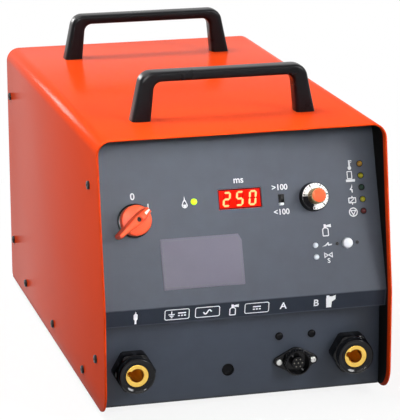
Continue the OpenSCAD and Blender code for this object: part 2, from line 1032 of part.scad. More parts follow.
module display_segments() {
    half_w = (digit_w - segment_w) / 2;
    half_h = (digit_h - segment_w) / 2;
    color([1, 0.95, 0.6])
        at_panel(display_x, display_s)
            translate([0, 0, -display_set])
                for (digit = [0 : 2], i = lit_bars[digit]) {
                    bar = bar_shares[i];
                    upright = bar[2] == 1;
                    middle = [bar[0] * half_w, bar[1] * half_h];
                    bar_l = (upright ? half_h : 2 * half_w) - segment_gap;
                    translate([(digit - 1) * digit_pitch, 0, 0])
                        linear_extrude(segment_t)
                            polygon(bar_points(middle, bar_l, upright));
                }
}

module range_switch_housing() {
    color([0.05, 0.05, 0.05])
        at_panel(range_x, range_s)
            difference() {
                block(slot_w + 2 * housing_side, slot_l + 2 * housing_side, board_z, -panel_t);
                block(slot_w, slot_l, -panel_t - slot_d, over);
            }
}

module range_switch_slider() {
    rest = -slot_l / 2 + slider_l / 2 + sheet_gap;
    color([0.9, 0.9, 0.92])
        at_panel(range_x, range_s)
            translate([0, rest, 0]) {
                block(slot_w - 2 * sheet_gap, slider_l, -panel_t - slot_d, -panel_t - slot_d + slider_h);
                translate([0, -slider_l / 2 + nub_l / 2, 0])
                    block(nub_w, nub_l, -panel_t - slot_d, nub_top);
            }
}

module time_potentiometer() {
    color([0.3, 0.35, 0.4])
        at_panel(time_x, time_s)
            difference() {
                union() {
                    disc(pot_r, -panel_t - pot_h, -panel_t);
                    disc(bush_r, -panel_t, bush_top);
                }
                disc(time_shaft_r + run_gap, -pot_shaft_depth, bush_top + over);
            }
}

module time_potentiometer_nut() {
    color("silver")
        at_panel(time_x, time_s)
            difference() {
                hex(nut_r, 0, nut_h);
                disc(bush_r + run_gap, -over, nut_h + over);
            }
}

module time_shaft() {
    color("silver")
        at_panel(time_x, time_s)
            disc(time_shaft_r, -pot_shaft_depth, time_shaft_top);
}

module time_knob_skirt() {
    color([0.07, 0.07, 0.07])
        at_panel(time_x, time_s)
            difference() {
                disc(skirt_r, slide_gap, skirt_h);
                disc(skirt_cavity_r, 0, skirt_cavity_top);
                disc(time_shaft_r + run_gap, 0, skirt_h + over);
            }
}

module time_dial() {
    color([0.9, 0.9, 0.88])
        at_panel(time_x, time_s)
            difference() {
                disc(dial_r, skirt_h, skirt_h + dial_t);
                disc(barrel_r + hole_gap, skirt_h - over, skirt_h + dial_t + over);
            }
}

module time_knob_barrel() {
    color([0.6, 0.6, 0.6])
        at_panel(time_x, time_s)
            difference() {
                disc(barrel_r, skirt_h, barrel_top);
                disc(time_shaft_r + run_gap, skirt_h - over, time_shaft_top + run_gap);
                for (i = [0 : flute_count - 1])
                    rotate([0, 0, i * 360 / flute_count])
                        translate([barrel_r, 0, 0])
                            disc(flute_r, skirt_h + dial_t + over, barrel_top + over);
            }
}

module time_knob_cap() {
    color([0.9, 0.3, 0.1])
        at_panel(time_x, time_s)
            disc(cap_r, barrel_top, barrel_top + cap_h);
}

// A domed lamp, with its rim behind the panel and its two legs on the board
module lamp(r) {
    intersection() {
        disc(r, -panel_t, lamp_top);
        translate([0, 0, lamp_top - lamp_dome_r])
            sphere(lamp_dome_r);
    }
    disc(r, -panel_t, 0);
    disc(lamp_rim_r, -panel_t - lamp_rim_t, -panel_t);
    for (side = [-1, 1])
        translate([side * lamp_leg_x, 0, 0])
            block(lamp_leg_w, lamp_leg_w, board_z, -panel_t - lamp_rim_t);
}

module power_lamp() {
    color([0.75, 0.92, 0])
        at_panel(-power_lamp_x, display_s)
            lamp(power_lamp_r);
}

// Status lamps, counted down from the top one
module status_lamps(places, colour) {
    color(colour)
        for (i = places)
            at_panel(status_x, lamp_top_s - i * lamp_pitch)
                lamp(lamp_r);
}

module mode_lamps() {
    color([0.88, 0.9, 0.94])
        for (i = [0, 1])
            at_panel(mode_lamp_x, mode_s - i * mode_lamp_pitch)
                lamp(lamp_r);
}

module mode_button() {
    color([0.88, 0.9, 0.94])
        at_panel(button_x, mode_s) {
            disc(button_r, button_low, button_top);
            disc(button_rim_r, button_low - button_rim_t, button_low);
            disc(stem_r, stem_end, button_low);
        }
}

module mode_button_switch() {
    color([0.1, 0.1, 0.1])
        at_panel(button_x, mode_s)
            difference() {
                block(button_switch_w, button_switch_w, board_z, button_switch_top);
                disc(stem_r + hole_gap, stem_well, button_switch_top + over);
            }
}

module mode_button_screws() {
    color([0.2, 0.2, 0.2])
        for (side = [-1, 1])
            at_panel(button_x + side * button_screw_x, mode_s) {
                disc(button_head_r, 0, button_head_h);
                disc(button_screw_r, -button_screw_l, 0);
            }
}

module name_plate() {
    w = plate_w / 2;
    h = plate_h / 2;
    color([0.5, 0.5, 0.54])
        at_panel(plate_x, plate_s)
            linear_extrude(plate_t)
                polygon([[-w, -h], [w, -h], [w, h - plate_cut_h], [w - plate_cut_w, h], [-w, h]]);
}

module control_board() {
    color([0.1, 0.35, 0.2])
        at_panel(board_left_x, board_low_s)
            translate([0, 0, board_z - board_t]) {
                cube([board_w, board_l, board_t]);
                for (share = chip_shares)
                    translate([share * board_w - chip_w / 2, (board_l - chip_d) / 2, -chip_h])
                        cube([chip_w, chip_d, chip_h]);
            }
}

module board_spacers() {
    mid_x = board_left_x + spacer_mid_share * board_w;
    color("goldenrod")
        for (x = [board_left_x + spacer_inset, mid_x, board_right_x - spacer_inset],
             s = [board_low_s + spacer_inset, board_top_s - spacer_inset])
            at_panel(x, s)
                disc(spacer_r, board_z, -panel_t);
}

module weld_socket(side) {
    color([0.05, 0.05, 0.06])
        at_front(side * socket_x, socket_s)
            difference() {
                union() {
                    hex(hex_r, 0, hex_h);
                    disc(socket_r, hex_h, socket_reach);
                    disc(spigot_r, -spigot_l, 0);
                }
                disc(contact_r + hole_gap, -spigot_l - over, socket_reach + over);
                disc(socket_lip_r, socket_reach - socket_lip_l, socket_reach + over);
            }
}

module weld_contact(side) {
    face = socket_reach - socket_lip_l;
    color([0.85, 0.65, 0.25])
        at_front(side * socket_x, socket_s)
            difference() {
                union() {
                    disc(contact_r, contact_back, face);
                    disc(stud_r, contact_back - stud_l, contact_back);
                }
                disc(plug_r, face - plug_l, face + over);
                rotate([0, 0, key_angle])
                    translate([key_reach, 0, 0])
                        disc(key_r, face - key_l, face + over);
            }
}

module weld_socket_nuts() {
    color([0.08, 0.08, 0.08])
        for (side = [-1, 1])
            at_front(side * socket_x, socket_s)
                for (nut = [[nut_hex_r, spigot_r, -panel_t, socket_nut_h],
                            [stud_nut_r, stud_r, contact_back - bar_t, stud_nut_h]])
                    difference() {
                        hex(nut[0], nut[2] - nut[3], nut[2]);
                        disc(nut[1] + run_gap, nut[2] - nut[3] - over, nut[2] + over);
                    }
}

module control_connector_shell() {
    line = rounded(
        [[-flange_half_w, 0], [0, -flange_half_h], [flange_half_w, 0], [0, flange_half_h]],
        [flange_end_r, flange_mid_r, flange_end_r, flange_mid_r]
    );
    color([0.05, 0.05, 0.05])
        at_front(connector_x, connector_s)
            difference() {
                union() {
                    linear_extrude(flange_t)
                        polygon(line);
                    disc(connector_r - neck_set, 0, flange_t + neck_l);
                    disc(connector_r, flange_t + neck_l, flange_t + connector_reach);
                    disc(shell_back_r, -shell_back_l, 0);
                }
                disc(shell_cavity_r, shell_floor, flange_t + connector_reach + over);
                for (side = [-1, 1])
                    translate([side * flange_screw_x, 0, 0])
                        disc(flange_screw_r + hole_gap, -over, flange_t + over);
            }
}

module control_connector_insert() {
    color([0.12, 0.12, 0.13])
        at_front(connector_x, connector_s)
            difference() {
                union() {
                    disc(shell_cavity_r - hole_gap, shell_floor, shell_floor + insert_base_t);
                    disc(insert_r, shell_floor, insert_top);
                }
                for (i = [0 : pin_count - 1])
                    rotate([0, 0, i * 360 / pin_count])
                        translate([pin_ring_r, 0, 0])
                            disc(pin_r, insert_top - pin_l, insert_top + over);
                disc(pin_r, insert_top - pin_l, insert_top + over);
            }
}

module control_connector_screws() {
    color("silver")
        for (side = [-1, 1])
            at_front(connector_x + side * flange_screw_x, connector_s)
                translate([0, 0, flange_t])
                    screw(flange_head_r, flange_head_h, flange_screw_r, flange_screw_l,
                        flange_key_r, socket_key_d);
}

module small_plugs() {
    color([0.05, 0.05, 0.05])
        for (side = [-1, 1])
            at_front(connector_x + side * small_plug_x, small_plug_s) {
                intersection() {
                    disc(small_plug_r, 0, small_plug_top);
                    translate([0, 0, small_plug_top - small_plug_dome_r])
                        sphere(small_plug_dome_r);
                }
                disc(small_plug_stem_r, -small_plug_l, 0);
            }
}

module gas_port_plug() {
    color([0.08, 0.08, 0.08])
        at_front(-gas_plug_x, gas_plug_s)
            difference() {
                disc(gas_plug_r, -gas_plug_l, gas_plug_top);
                disc(gas_recess_r, gas_plug_top - gas_recess_d, gas_plug_top + over);
            }
}

// One bar on the right: a tab on the socket's stud, a run along the tray, a riser and a lap on a module
module bus_bar() {
    run_x = socket_x + stud_nut_r + slide_gap;
    lap_x = module_shares[2] * sink_w;
    bar_end_y = sink_front_y + bar_lap;
    difference() {
        union() {
            translate([socket_x - bar_tab_w / 2, bar_tab_y, bar_low_z])
                cube([run_x + bar_t - socket_x + bar_tab_w / 2, bar_t, bar_h]);
            translate([run_x, bar_tab_y, bar_low_z])
                cube([bar_t, bar_end_y - bar_tab_y, bar_h]);
            translate([run_x, bar_end_y - bar_riser_w, bar_low_z])
                cube([bar_t, bar_riser_w, module_top_z + bar_t - bar_low_z]);
            translate([lap_x, bar_end_y - bar_riser_w, module_top_z])
                cube([run_x + bar_t - lap_x, bar_riser_w, bar_t]);
        }
        at_front(socket_x, socket_s)
            disc(stud_r + hole_gap, -case_d / 2, over);
    }
}

module bus_bars() {
    color([0.72, 0.4, 0.2]) {
        bus_bar();
        mirror([1, 0, 0])
            bus_bar();
    }
}

module transformer_core() {
    color([0.3, 0.31, 0.33])
        along(transformer_y - core_d / 2, core_d)
            difference() {
                translate([-core_w / 2, core_z])
                    square([core_w, core_h]);
                for (side = [-1, 1])
                    translate([side * limb_pitch / 2 - window_w / 2, core_z + limb_w])
                        square([window_w, window_h]);
            }
}

module winding_outline(w, d, r) {
    square([w - 2 * r, d], center = true);
    square([w, d - 2 * r], center = true);
    for (x = [-1, 1], y = [-1, 1])
        translate([x * (w / 2 - r), y * (d / 2 - r)])
            circle(r);
}

module transformer_windings() {
    color([0.7, 0.35, 0.18])
        for (i = [-1 : 1])
            translate([i * limb_pitch, transformer_y, core_z + limb_w + winding_end_gap])
                linear_extrude(window_h - 2 * winding_end_gap)
                    difference() {
                        winding_outline(winding_w, winding_d, winding_corner_r);
                        square([limb_w + 2 * winding_gap, core_d + 2 * winding_gap], center = true);
                    }
}

module transformer_clamps() {
    w = core_w + 2 * clamp_over;
    color([0.2, 0.2, 0.22])
        for (side = [-1, 1])
            translate([-w / 2, transformer_y, 0])
                mirror([0, side < 0 ? 1 : 0, 0])
                    translate([0, core_d / 2, 0]) {
                        translate([0, 0, floor_z])
                            cube([w, clamp_t, clamp_h]);
                        translate([0, 0, floor_z])
                            cube([w, clamp_foot, clamp_t]);
                        translate([0, 0, core_z + core_h - clamp_top_h])
                            cube([w, clamp_t, clamp_top_h]);
                    }
}

module rectifier_heat_sink() {
    fin_pitch = (sink_w - sink_fin_t) / (sink_fin_count - 1);
    color("silver")
        translate([-sink_w / 2, sink_front_y, floor_z]) {
            translate([0, 0, sink_h - sink_base_t])
                cube([sink_w, sink_d, sink_base_t]);
            for (i = [0 : sink_fin_count - 1])
                translate([i * fin_pitch, 0, 0])
                    cube([sink_fin_t, sink_d, sink_h]);
        }
}

module rectifier_modules() {
    color([0.1, 0.1, 0.1])
        for (share = module_shares)
            translate([share * sink_w - module_w / 2, sink_front_y + module_margin, sink_top_z])
                cube([module_w, sink_d - 2 * module_margin, module_h]);
}

module fan_frame() {
    color([0.08, 0.08, 0.08])
        at_rear(0, fan_s)
            translate([0, 0, -panel_t - fan_d])
                difference() {
                    union() {
                        difference() {
                            block(fan_w, fan_w, 0, fan_d);
                            disc(fan_duct_r, -over, fan_d + over);
                        }
                        disc(fan_motor_r, 0, fan_motor_l);
                        for (i = [0 : 1])
                            rotate([0, 0, 45 + i * 90])
                                block(fan_strut_w, fan_w, 0, fan_strut_t);
                    }
                    disc(fan_pin_r + run_gap, fan_motor_l - fan_pin_l, fan_motor_l + over);
                    at_fan_holes()
                        disc(fan_screw_r + run_gap, -over, fan_d + over);
                }
}

module fan_rotor() {
    hub_low = fan_motor_l + slide_gap;
    hub_mid = hub_low + fan_hub_l / 2;
    tip_r = fan_duct_r - fan_tip_gap;
    color([0.1, 0.1, 0.1])
        at_rear(0, fan_s)
            translate([0, 0, -panel_t - fan_d]) {
                disc(fan_pin_r, fan_motor_l - fan_pin_l + slide_gap, hub_low);
                disc(fan_hub_r, hub_low, hub_low + fan_hub_l);
                intersection() {
                    disc(tip_r, hub_low, hub_low + fan_hub_l);
                    for (i = [0 : blade_count - 1])
                        rotate([0, 0, i * 360 / blade_count])
                            translate([fan_hub_r / 2, 0, hub_mid])
                                rotate([blade_pitch, 0, 0])
                                    translate([0, -blade_chord / 2, -blade_t / 2])
                                        cube([tip_r, blade_chord, blade_t]);
                }
            }
}

module fan_guard() {
    guard_r = fan_w * fan_hole_share;
    color([0.5, 0.5, 0.52])
        at_rear(0, fan_s) {
            for (share = guard_ring_shares)
                translate([0, 0, guard_wire_r * 3 - guard_overlap])
                    rotate_extrude()
                        translate([guard_r * share, 0])
                            circle(guard_wire_r);
            difference() {
                union() {
                    for (i = [0 : 1])
                        rotate([0, 0, 45 + i * 90])
                            rotate([90, 0, 0])
                                translate([0, guard_wire_r, -guard_r * sqrt(2)])
                                    cylinder(r = guard_wire_r, h = 2 * guard_r * sqrt(2));
                    at_fan_holes()
                        disc(guard_lug_r, 0, guard_lug_t);
                }
                at_fan_holes() {
                    disc(fan_screw_r + hole_gap, -over, guard_lug_t + over);
                    disc(fan_screw_head_r + sheet_gap, guard_lug_t, 2 * guard_wire_r + over);
                }
            }
        }
}

module fan_screws() {
    color("silver")
        at_rear(0, fan_s)
            at_fan_holes()
                translate([0, 0, guard_lug_t])
                    screw(fan_screw_head_r, fan_screw_head_h, fan_screw_r, fan_screw_l,
                        socket_key_r, socket_key_d);
}

module cable_gland_body() {
    color([0.08, 0.08, 0.08])
        at_rear(gland_x, gland_s)
            difference() {
                union() {
                    disc(gland_r, -panel_t - gland_thread_l, 0);
                    hex(gland_hex_r, 0, gland_hex_h);
                    hex(gland_hex_r, -panel_t - gland_nut_h, -panel_t);
                }
                disc(gland_bore_r, -panel_t - gland_thread_l - over, gland_hex_h + over);
            }
}

module cable_gland_cap() {
    color([0.08, 0.08, 0.08])
        at_rear(gland_x, gland_s)
            difference() {
                union() {
                    disc(gland_cap_r, gland_hex_h, gland_hex_h + gland_cap_h - gland_step);
                    translate([0, 0, gland_hex_h + gland_cap_h - gland_step])
                        cylinder(r1 = gland_cap_r, r2 = gland_cap_r - gland_step, h = gland_step);
                }
                disc(gland_bore_r, gland_hex_h - over, gland_hex_h + gland_cap_h + over);
            }
}

tray();
rubber_feet();
connector_panel();
control_panel();
rear_panel();
cover();
cover_screws();
handle(front_handle_y);  // front_handle
handle(rear_handle_y);  // rear_handle
handle_screws();
main_switch_rosette();
main_switch_body();
main_switch_shaft();
main_switch_knob();
main_switch_knob_screw();
display_module();
display_segments();
range_switch_housing();
range_switch_slider();
time_potentiometer();
time_potentiometer_nut();
time_shaft();
time_knob_skirt();
time_dial();
time_knob_barrel();
time_knob_cap();
power_lamp();
status_lamps([0], [0.75, 0.5, 0.08]);  // amber_lamp
status_lamps([1, 3], [0.75, 0.75, 0.08]);  // yellow_lamps
status_lamps([2], [0.06, 0.2, 0.14]);  // green_lamp
status_lamps([4], [0.43, 0.04, 0.04]);  // red_lamp
mode_lamps();
mode_button();
mode_button_switch();
mode_button_screws();
name_plate();
control_board();
board_spacers();
weld_socket(-1);  // left_weld_socket
weld_socket(1);  // right_weld_socket
weld_contact(-1);  // left_weld_contact
weld_contact(1);  // right_weld_contact
weld_socket_nuts();
control_connector_shell();
control_connector_insert();
control_connector_screws();
small_plugs();
gas_port_plug();
bus_bars();
transformer_core();
transformer_windings();
transformer_clamps();
rectifier_heat_sink();
rectifier_modules();
fan_frame();
fan_rotor();
fan_guard();
fan_screws();
cable_gland_body();
cable_gland_cap();
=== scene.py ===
# %% [markdown]
# # A stud welder, dressed
# The solid model already has every piece of the welder at its real size. This lesson gives those
# pieces the look of the real machine: powder-coated sheet, moulded plastic, turned brass, printed
# signs and lit lamps. The places of the pieces are read from the solid model.

# %% Load the solid model
import json
import math

import bmesh
import bpy
import numpy as np
from mathutils import Matrix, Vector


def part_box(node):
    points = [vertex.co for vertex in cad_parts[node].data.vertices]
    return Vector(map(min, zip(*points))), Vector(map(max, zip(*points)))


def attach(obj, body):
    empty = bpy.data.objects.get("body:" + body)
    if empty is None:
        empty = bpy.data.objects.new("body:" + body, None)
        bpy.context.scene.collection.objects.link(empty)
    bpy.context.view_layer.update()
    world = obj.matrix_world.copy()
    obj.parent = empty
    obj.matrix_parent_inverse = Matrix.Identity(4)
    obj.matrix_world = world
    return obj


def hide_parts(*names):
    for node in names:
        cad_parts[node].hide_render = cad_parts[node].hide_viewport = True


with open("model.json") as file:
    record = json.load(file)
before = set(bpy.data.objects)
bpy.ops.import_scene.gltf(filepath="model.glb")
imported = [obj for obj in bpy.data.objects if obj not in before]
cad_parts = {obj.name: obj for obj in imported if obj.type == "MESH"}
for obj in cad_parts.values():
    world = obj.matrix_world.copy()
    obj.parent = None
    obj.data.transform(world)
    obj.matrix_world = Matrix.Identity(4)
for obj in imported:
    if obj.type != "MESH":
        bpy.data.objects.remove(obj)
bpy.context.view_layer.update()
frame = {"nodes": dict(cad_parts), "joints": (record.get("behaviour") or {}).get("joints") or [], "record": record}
MM = 0.001
print("pieces in the solid model:", len(frame["nodes"]))

# %% [markdown]
# ## Faces to work on
# Most small pieces stand on one of three faces: the raked control panel, the recessed connector
# panel and the rear panel. Each face gets its own axes, the third one pointing out of it, and is
# measured in millimetres, as on a drawing. The turn axis of the main switch is square to the control
# panel, so it gives the panel's lean. The larger pieces are drawn on the floor.

# %% Faces and their axes
FLAT = np.array([1, 1, 0])


def corners_of(node):
    """All the vertices of a node as one array, in metres."""
    mesh = frame["nodes"][node].data
    points = np.empty(len(mesh.vertices) * 3)
    mesh.vertices.foreach_get("co", points)
    return points.reshape(-1, 3)


def groups(points, reach):
    """Middles, at height zero, of the groups of points that lie within reach of a group's first one."""
    middles = []
    while len(points):
        near = np.linalg.norm(points - points[0], axis=1) < reach
        middles.append((points[near].min(0) + points[near].max(0)) / 2 * FLAT)
        points = points[~near]
    return middles


class Face:
    """A flat face in millimetres: an origin on it, and rows for right, up and out."""

    def __init__(self, origin, right, up):
        self.origin = np.array(origin, float)
        self.axes = np.array([right, up, np.cross(right, up)], float)

    def to_model(self, points):
        """Carries points from the face's own axes to the model's, in metres."""
        return np.asarray(points, float) * MM @ self.axes + self.origin

    def seen(self, points):
        """Carries points of the model to the face's own axes."""
        return (np.asarray(points, float) - self.origin) @ self.axes.T / MM

    def local(self, node):
        """The vertices of a node in the face's own axes."""
        return self.seen(corners_of(node))

    def span(self, node):
        """Lowest and highest corner of a node along the face's own axes."""
        local = self.local(node)
        return local.min(0), local.max(0)

    def middle(self, node):
        """The middle of a node, at height zero."""
        low, high = self.span(node)
        return (low + high) / 2 * FLAT

    def places(self, node, above, reach):
        """Where the separate parts of a node stand, found from its points above a height."""
        local = self.local(node)
        return groups(local[local[:, 2] > above], reach)


print("the control panel has", len(corners_of("control_panel")), "points")

# %% [markdown]
# ## Where the faces lie
# The panel's plane could be typed in, but then it would go wrong as soon as the solid model changes.
# So its origin is read from the foremost edge of the folded sheet, where the panel meets its strip, and
# the others come from the boxes of the pieces that lie on them.

# %% Four faces
RIGHT, UP = (1, 0, 0), (0, 0, 1)
joints = {joint["name"]: joint for joint in frame["joints"]}
panel_out = np.array(joints["main_switch_turn"]["axis"])
panel_up = np.array([0, panel_out[2], -panel_out[1]])
panel_points = corners_of("control_panel")
panel_edge = panel_points[panel_points[:, 1].argmin()]
case_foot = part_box("cover")[0][2]

panel = Face((0, panel_edge[1], panel_edge[2]), RIGHT, panel_up)
front = Face((0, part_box("connector_panel")[0][1], case_foot), RIGHT, UP)
rear = Face((0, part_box("fan_guard")[0][1], case_foot), (-1, 0, 0), UP)
floor = Face((0, 0, 0), RIGHT, (0, 1, 0))
print("control panel leans back by", round(math.degrees(math.asin(panel_out[2])), 1), "degrees")

# %% [markdown]
# ## The camera
# The photograph was taken from the front left and a little above, with a long lens. Its place was
# worked out from the straight edges of the case, so the picture lines up with the model.

# %% Camera
CAMERA_PLACE = np.array([-565.3, -2209.5, 749.9]) * MM
CAMERA_YAW, CAMERA_PITCH, CAMERA_ROLL = 0.2570, 0.2627, -0.0042
FOCAL_PIXELS, IMAGE_HEIGHT, SENSOR = 2295.5, 420, 36.0
FAR_CLIP = 50

ahead = np.array([
    math.sin(CAMERA_YAW) * math.cos(CAMERA_PITCH),
    math.cos(CAMERA_YAW) * math.cos(CAMERA_PITCH),
    -math.sin(CAMERA_PITCH),
])
level = np.array([math.cos(CAMERA_YAW), -math.sin(CAMERA_YAW), 0])
upright = np.cross(level, ahead)
turned_right = level * math.cos(CAMERA_ROLL) + upright * math.sin(CAMERA_ROLL)
turned_up = upright * math.cos(CAMERA_ROLL) - level * math.sin(CAMERA_ROLL)

lens = bpy.data.cameras.new("camera")
lens.sensor_width = SENSOR
lens.lens = FOCAL_PIXELS * SENSOR / IMAGE_HEIGHT
lens.clip_end = FAR_CLIP
camera = bpy.data.objects.new("camera", lens)
pose = np.eye(4)
pose[:3] = np.column_stack([turned_right, turned_up, -ahead, CAMERA_PLACE])
camera.matrix_world = Matrix(pose.tolist())
scene = bpy.context.scene
scene.collection.objects.link(camera)
scene.camera = camera
print("lens", round(lens.lens, 1), "mm")

# %% [markdown]
# ## Backdrop
# The photograph has a plain white background. The camera and every reflection see the room as flat
# white, by way of the Light Path node, while the light that it throws on the machine stays low. Two
# helpers make and link nodes, so each tree reads from its first node to its last.


# %% White room
def feed(tree, node, inputs):
    """Gives a node's sockets their values, and links those whose value is another node's output."""
    for name, value in inputs.items():
        if isinstance(value, bpy.types.NodeSocket):
            tree.links.new(value, node.inputs[name])
        else:
            node.inputs[name].default_value = value


def add(tree, kind, inputs=(), **settings):
    """A new node with its own settings and its sockets fed."""
    node = tree.nodes.new("ShaderNode" + kind)
    for name, value in settings.items():
        setattr(node, name, value)
    feed(tree, node, dict(inputs))
    return node


def shows_backdrop(tree):
    """One for rays that show the background directly, in a mirror or through glass, and else zero."""
    path = add(tree, "LightPath").outputs
    either = add(tree, "Math", {0: path["Is Camera Ray"], 1: path["Is Glossy Ray"]}, operation="MAXIMUM")
    through = {0: either.outputs[0], 1: path["Is Transmission Ray"]}
    return add(tree, "Math", through, operation="MAXIMUM").outputs[0]


FILL_LIGHT = 0.2
world = bpy.data.worlds.new("white_room")
world.use_nodes = True
scene.world = world
sky = world.node_tree
sky.nodes.clear()
strength = add(sky, "MapRange", {"Value": shows_backdrop(sky), "To Min": FILL_LIGHT, "To Max": 1.0})
background = add(sky, "Background", {"Strength": strength.outputs["Result"], "Color": (1, 1, 1, 1)})
add(sky, "OutputWorld", {"Surface": background.outputs[0]})
print("the room fills with a strength of", FILL_LIGHT)

# %% [markdown]
# ## Floor
# The machine stands on a white sweep. To the camera it is flat white as well, but near the machine a
# share of real shading is mixed in, so that the shadow stays. The share fades with the distance from
# the middle. Fully real shading would leave a grey floor with an edge against the room.

# %% Floor
FLOOR_HALF = 6.0
FLOOR_WHITE, FLOOR_BOUNCE = 0.9, 0.15
SHADOW_SHARE, SHADOW_NEAR, SHADOW_FAR = 0.14, 0.25, 0.7

sweep = bpy.data.materials.new("white_sweep")
sweep.use_nodes = True
tree = sweep.node_tree
tree.nodes.clear()
floor_seen = shows_backdrop(tree)
away = add(tree, "VectorMath", {0: add(tree, "TexCoord").outputs["Object"]}, operation="LENGTH")
flatness = add(tree, "MapRange", {
    "Value": away.outputs["Value"], "From Min": SHADOW_NEAR, "From Max": SHADOW_FAR,
    "To Min": 1 - SHADOW_SHARE}, interpolation_type="SMOOTHSTEP")
share = add(tree, "Math", {0: floor_seen, 1: flatness.outputs["Result"]}, operation="MULTIPLY")
bounce = add(tree, "MapRange", {"Value": floor_seen, "To Min": FLOOR_BOUNCE, "To Max": FLOOR_WHITE})
shaded = add(tree, "BsdfDiffuse", {"Color": bounce.outputs["Result"]})
flat_white = add(tree, "Emission")
mixed = add(tree, "MixShader", {"Fac": share.outputs[0], 1: shaded.outputs[0], 2: flat_white.outputs[0]})
add(tree, "OutputMaterial", {"Surface": mixed.outputs[0]})

floor_mesh = bpy.data.meshes.new("studio_floor")
floor_corners = [(x * FLOOR_HALF, y * FLOOR_HALF, 0) for x, y in ((-1, -1), (1, -1), (1, 1), (-1, 1))]
floor_mesh.from_pydata(floor_corners, [], [(0, 1, 2, 3)])
floor_mesh.materials.append(sweep)
floor_object = bpy.data.objects.new("studio_floor", floor_mesh)
scene.collection.objects.link(floor_object)
print("floor:", 2 * FLOOR_HALF, "m wide")

# %% [markdown]
# ## Lamps
# The key lamp stands to the front right, and a weak one in front softens its shadows. A narrow beam
# on the control panel draws the sharp shadow of the hood. A broad lamp over the back left lights the
# top and the left side, and a small one behind puts a sheen on the left fold.


# %% Lamps of the studio
def look_rows(back):
    """Rows of a turn whose third axis is back, and whose first is level."""
    back = back / np.linalg.norm(back)
    side = np.cross(UP, back)
    side = side / np.linalg.norm(side)
    return np.array([side, np.cross(back, side), back])


def soft_lamp(name, place, target, size, power, spread):
    """A square area lamp that looks from its place at a target, its beam as wide as spread in degrees."""
    lamp = bpy.data.lights.new(name, "AREA")
    lamp.size = size
    lamp.energy = power
    lamp.spread = math.radians(spread)
    holder = bpy.data.objects.new(name, lamp)
    turn = look_rows(np.array(place) - np.array(target)).T
    holder.matrix_world = Matrix.Translation(place) @ Matrix(turn.tolist()).to_4x4()
    scene.collection.objects.link(holder)


CASE_MIDDLE, PANEL_TOP, LEFT_FOLD = (0, 0, 0.15), (-0.04, -0.18, 0.25), (-0.14, 0.0, 0.265)
WIDE, NARROW = 180, 12
STUDIO_LAMPS = {
    "key": ((1.55, -1.75, 1.3), CASE_MIDDLE, 0.8, 46, WIDE),
    "front": ((0.2, -2.4, 1.15), CASE_MIDDLE, 1.1, 6, WIDE),
    "grid": ((-0.5, -2.3, 1.0), PANEL_TOP, 0.3, 0.42, NARROW),
    "rim": ((-1.05, 0.45, 2.35), CASE_MIDDLE, 1.4, 60, WIDE),
    "edge": ((-0.6, 1.6, 0.62), LEFT_FOLD, 0.3, 6, WIDE),
}
for name, setting in STUDIO_LAMPS.items():
    soft_lamp(name, *setting)
scene.view_settings.view_transform = "Standard"
print("studio lamps:", len(STUDIO_LAMPS))

# %% [markdown]
# ## Shared surface effects
# Real finishes are never one flat colour. Three small node groups are built once and used in every
# material: a mottle that shifts the colour a little, a smudge that makes the gloss uneven, and a
# grain whose height goes into a bump. All of them read Object coordinates, because the pieces stand
# at the origin with their place in their mesh.


# %% Node groups
def effect_group(name, inputs, outputs):
    """An empty shader group with named sockets; inputs hold their default values."""
    group = bpy.data.node_groups.new(name, "ShaderNodeTree")
    for label, kind, value in inputs:
        group.interface.new_socket(label, in_out="INPUT", socket_type=kind).default_value = value
    for label, kind in outputs:
        group.interface.new_socket(label, in_out="OUTPUT", socket_type=kind)
    return group, group.nodes.new("NodeGroupInput").outputs, group.nodes.new("NodeGroupOutput")


def noise_in(group, given, detail, distortion=0.0):
    """A noise texture over Object coordinates whose scale comes from the group's Scale input."""
    return add(group, "TexNoise", {
        "Vector": add(group, "TexCoord").outputs["Object"], "Scale": given["Scale"],
        "Detail": detail, "Distortion": distortion}).outputs["Fac"]


FLOAT, COLOUR = "NodeSocketFloat", "NodeSocketColor"
CLOUD_ENDS = {"From Min": 0.3, "From Max": 0.7}

mottle, given, sink = effect_group(
    "mottle", [("Light", COLOUR, (1, 1, 1, 1)), ("Dark", COLOUR, (0, 0, 0, 1)), ("Scale", FLOAT, 30.0)],
    [("Color", COLOUR)])
clouds = add(mottle, "MapRange", {"Value": noise_in(mottle, given, 5.0), **CLOUD_ENDS})
blend = add(mottle, "Mix", {
    "Factor": clouds.outputs["Result"], "A": given["Dark"], "B": given["Light"]}, data_type="RGBA")
feed(mottle, sink, {"Color": blend.outputs["Result"]})

smudge, given, sink = effect_group(
    "smudge", [("Smooth", FLOAT, 0.3), ("Rough", FLOAT, 0.5), ("Scale", FLOAT, 20.0)],
    [("Roughness", FLOAT)])
clouds = add(smudge, "MapRange", {
    "Value": noise_in(smudge, given, 4.0, 0.6), **CLOUD_ENDS,
    "To Min": given["Smooth"], "To Max": given["Rough"]})
feed(smudge, sink, {"Roughness": clouds.outputs["Result"]})

grain, given, sink = effect_group("grain", [("Scale", FLOAT, 800.0)], [("Height", FLOAT)])
feed(grain, sink, {"Height": noise_in(grain, given, 2.0)})
print("effects:", mottle.name, smudge.name, grain.name)

# %% [markdown]
# ## Finishes
# A finish is a Principled shader fed by those effects. Two colours a shade apart go into the
# mottle, two roughness values into the smudge, and a grain size and depth into the bump. What is
# the same all over, such as metal or the strength of a glow, is set on the shader's own socket.

# %% One finish
GLOSS_CLOUD = 0.6
LEAST_ROUGH = 0.02
BUMP_STRENGTH = 0.5


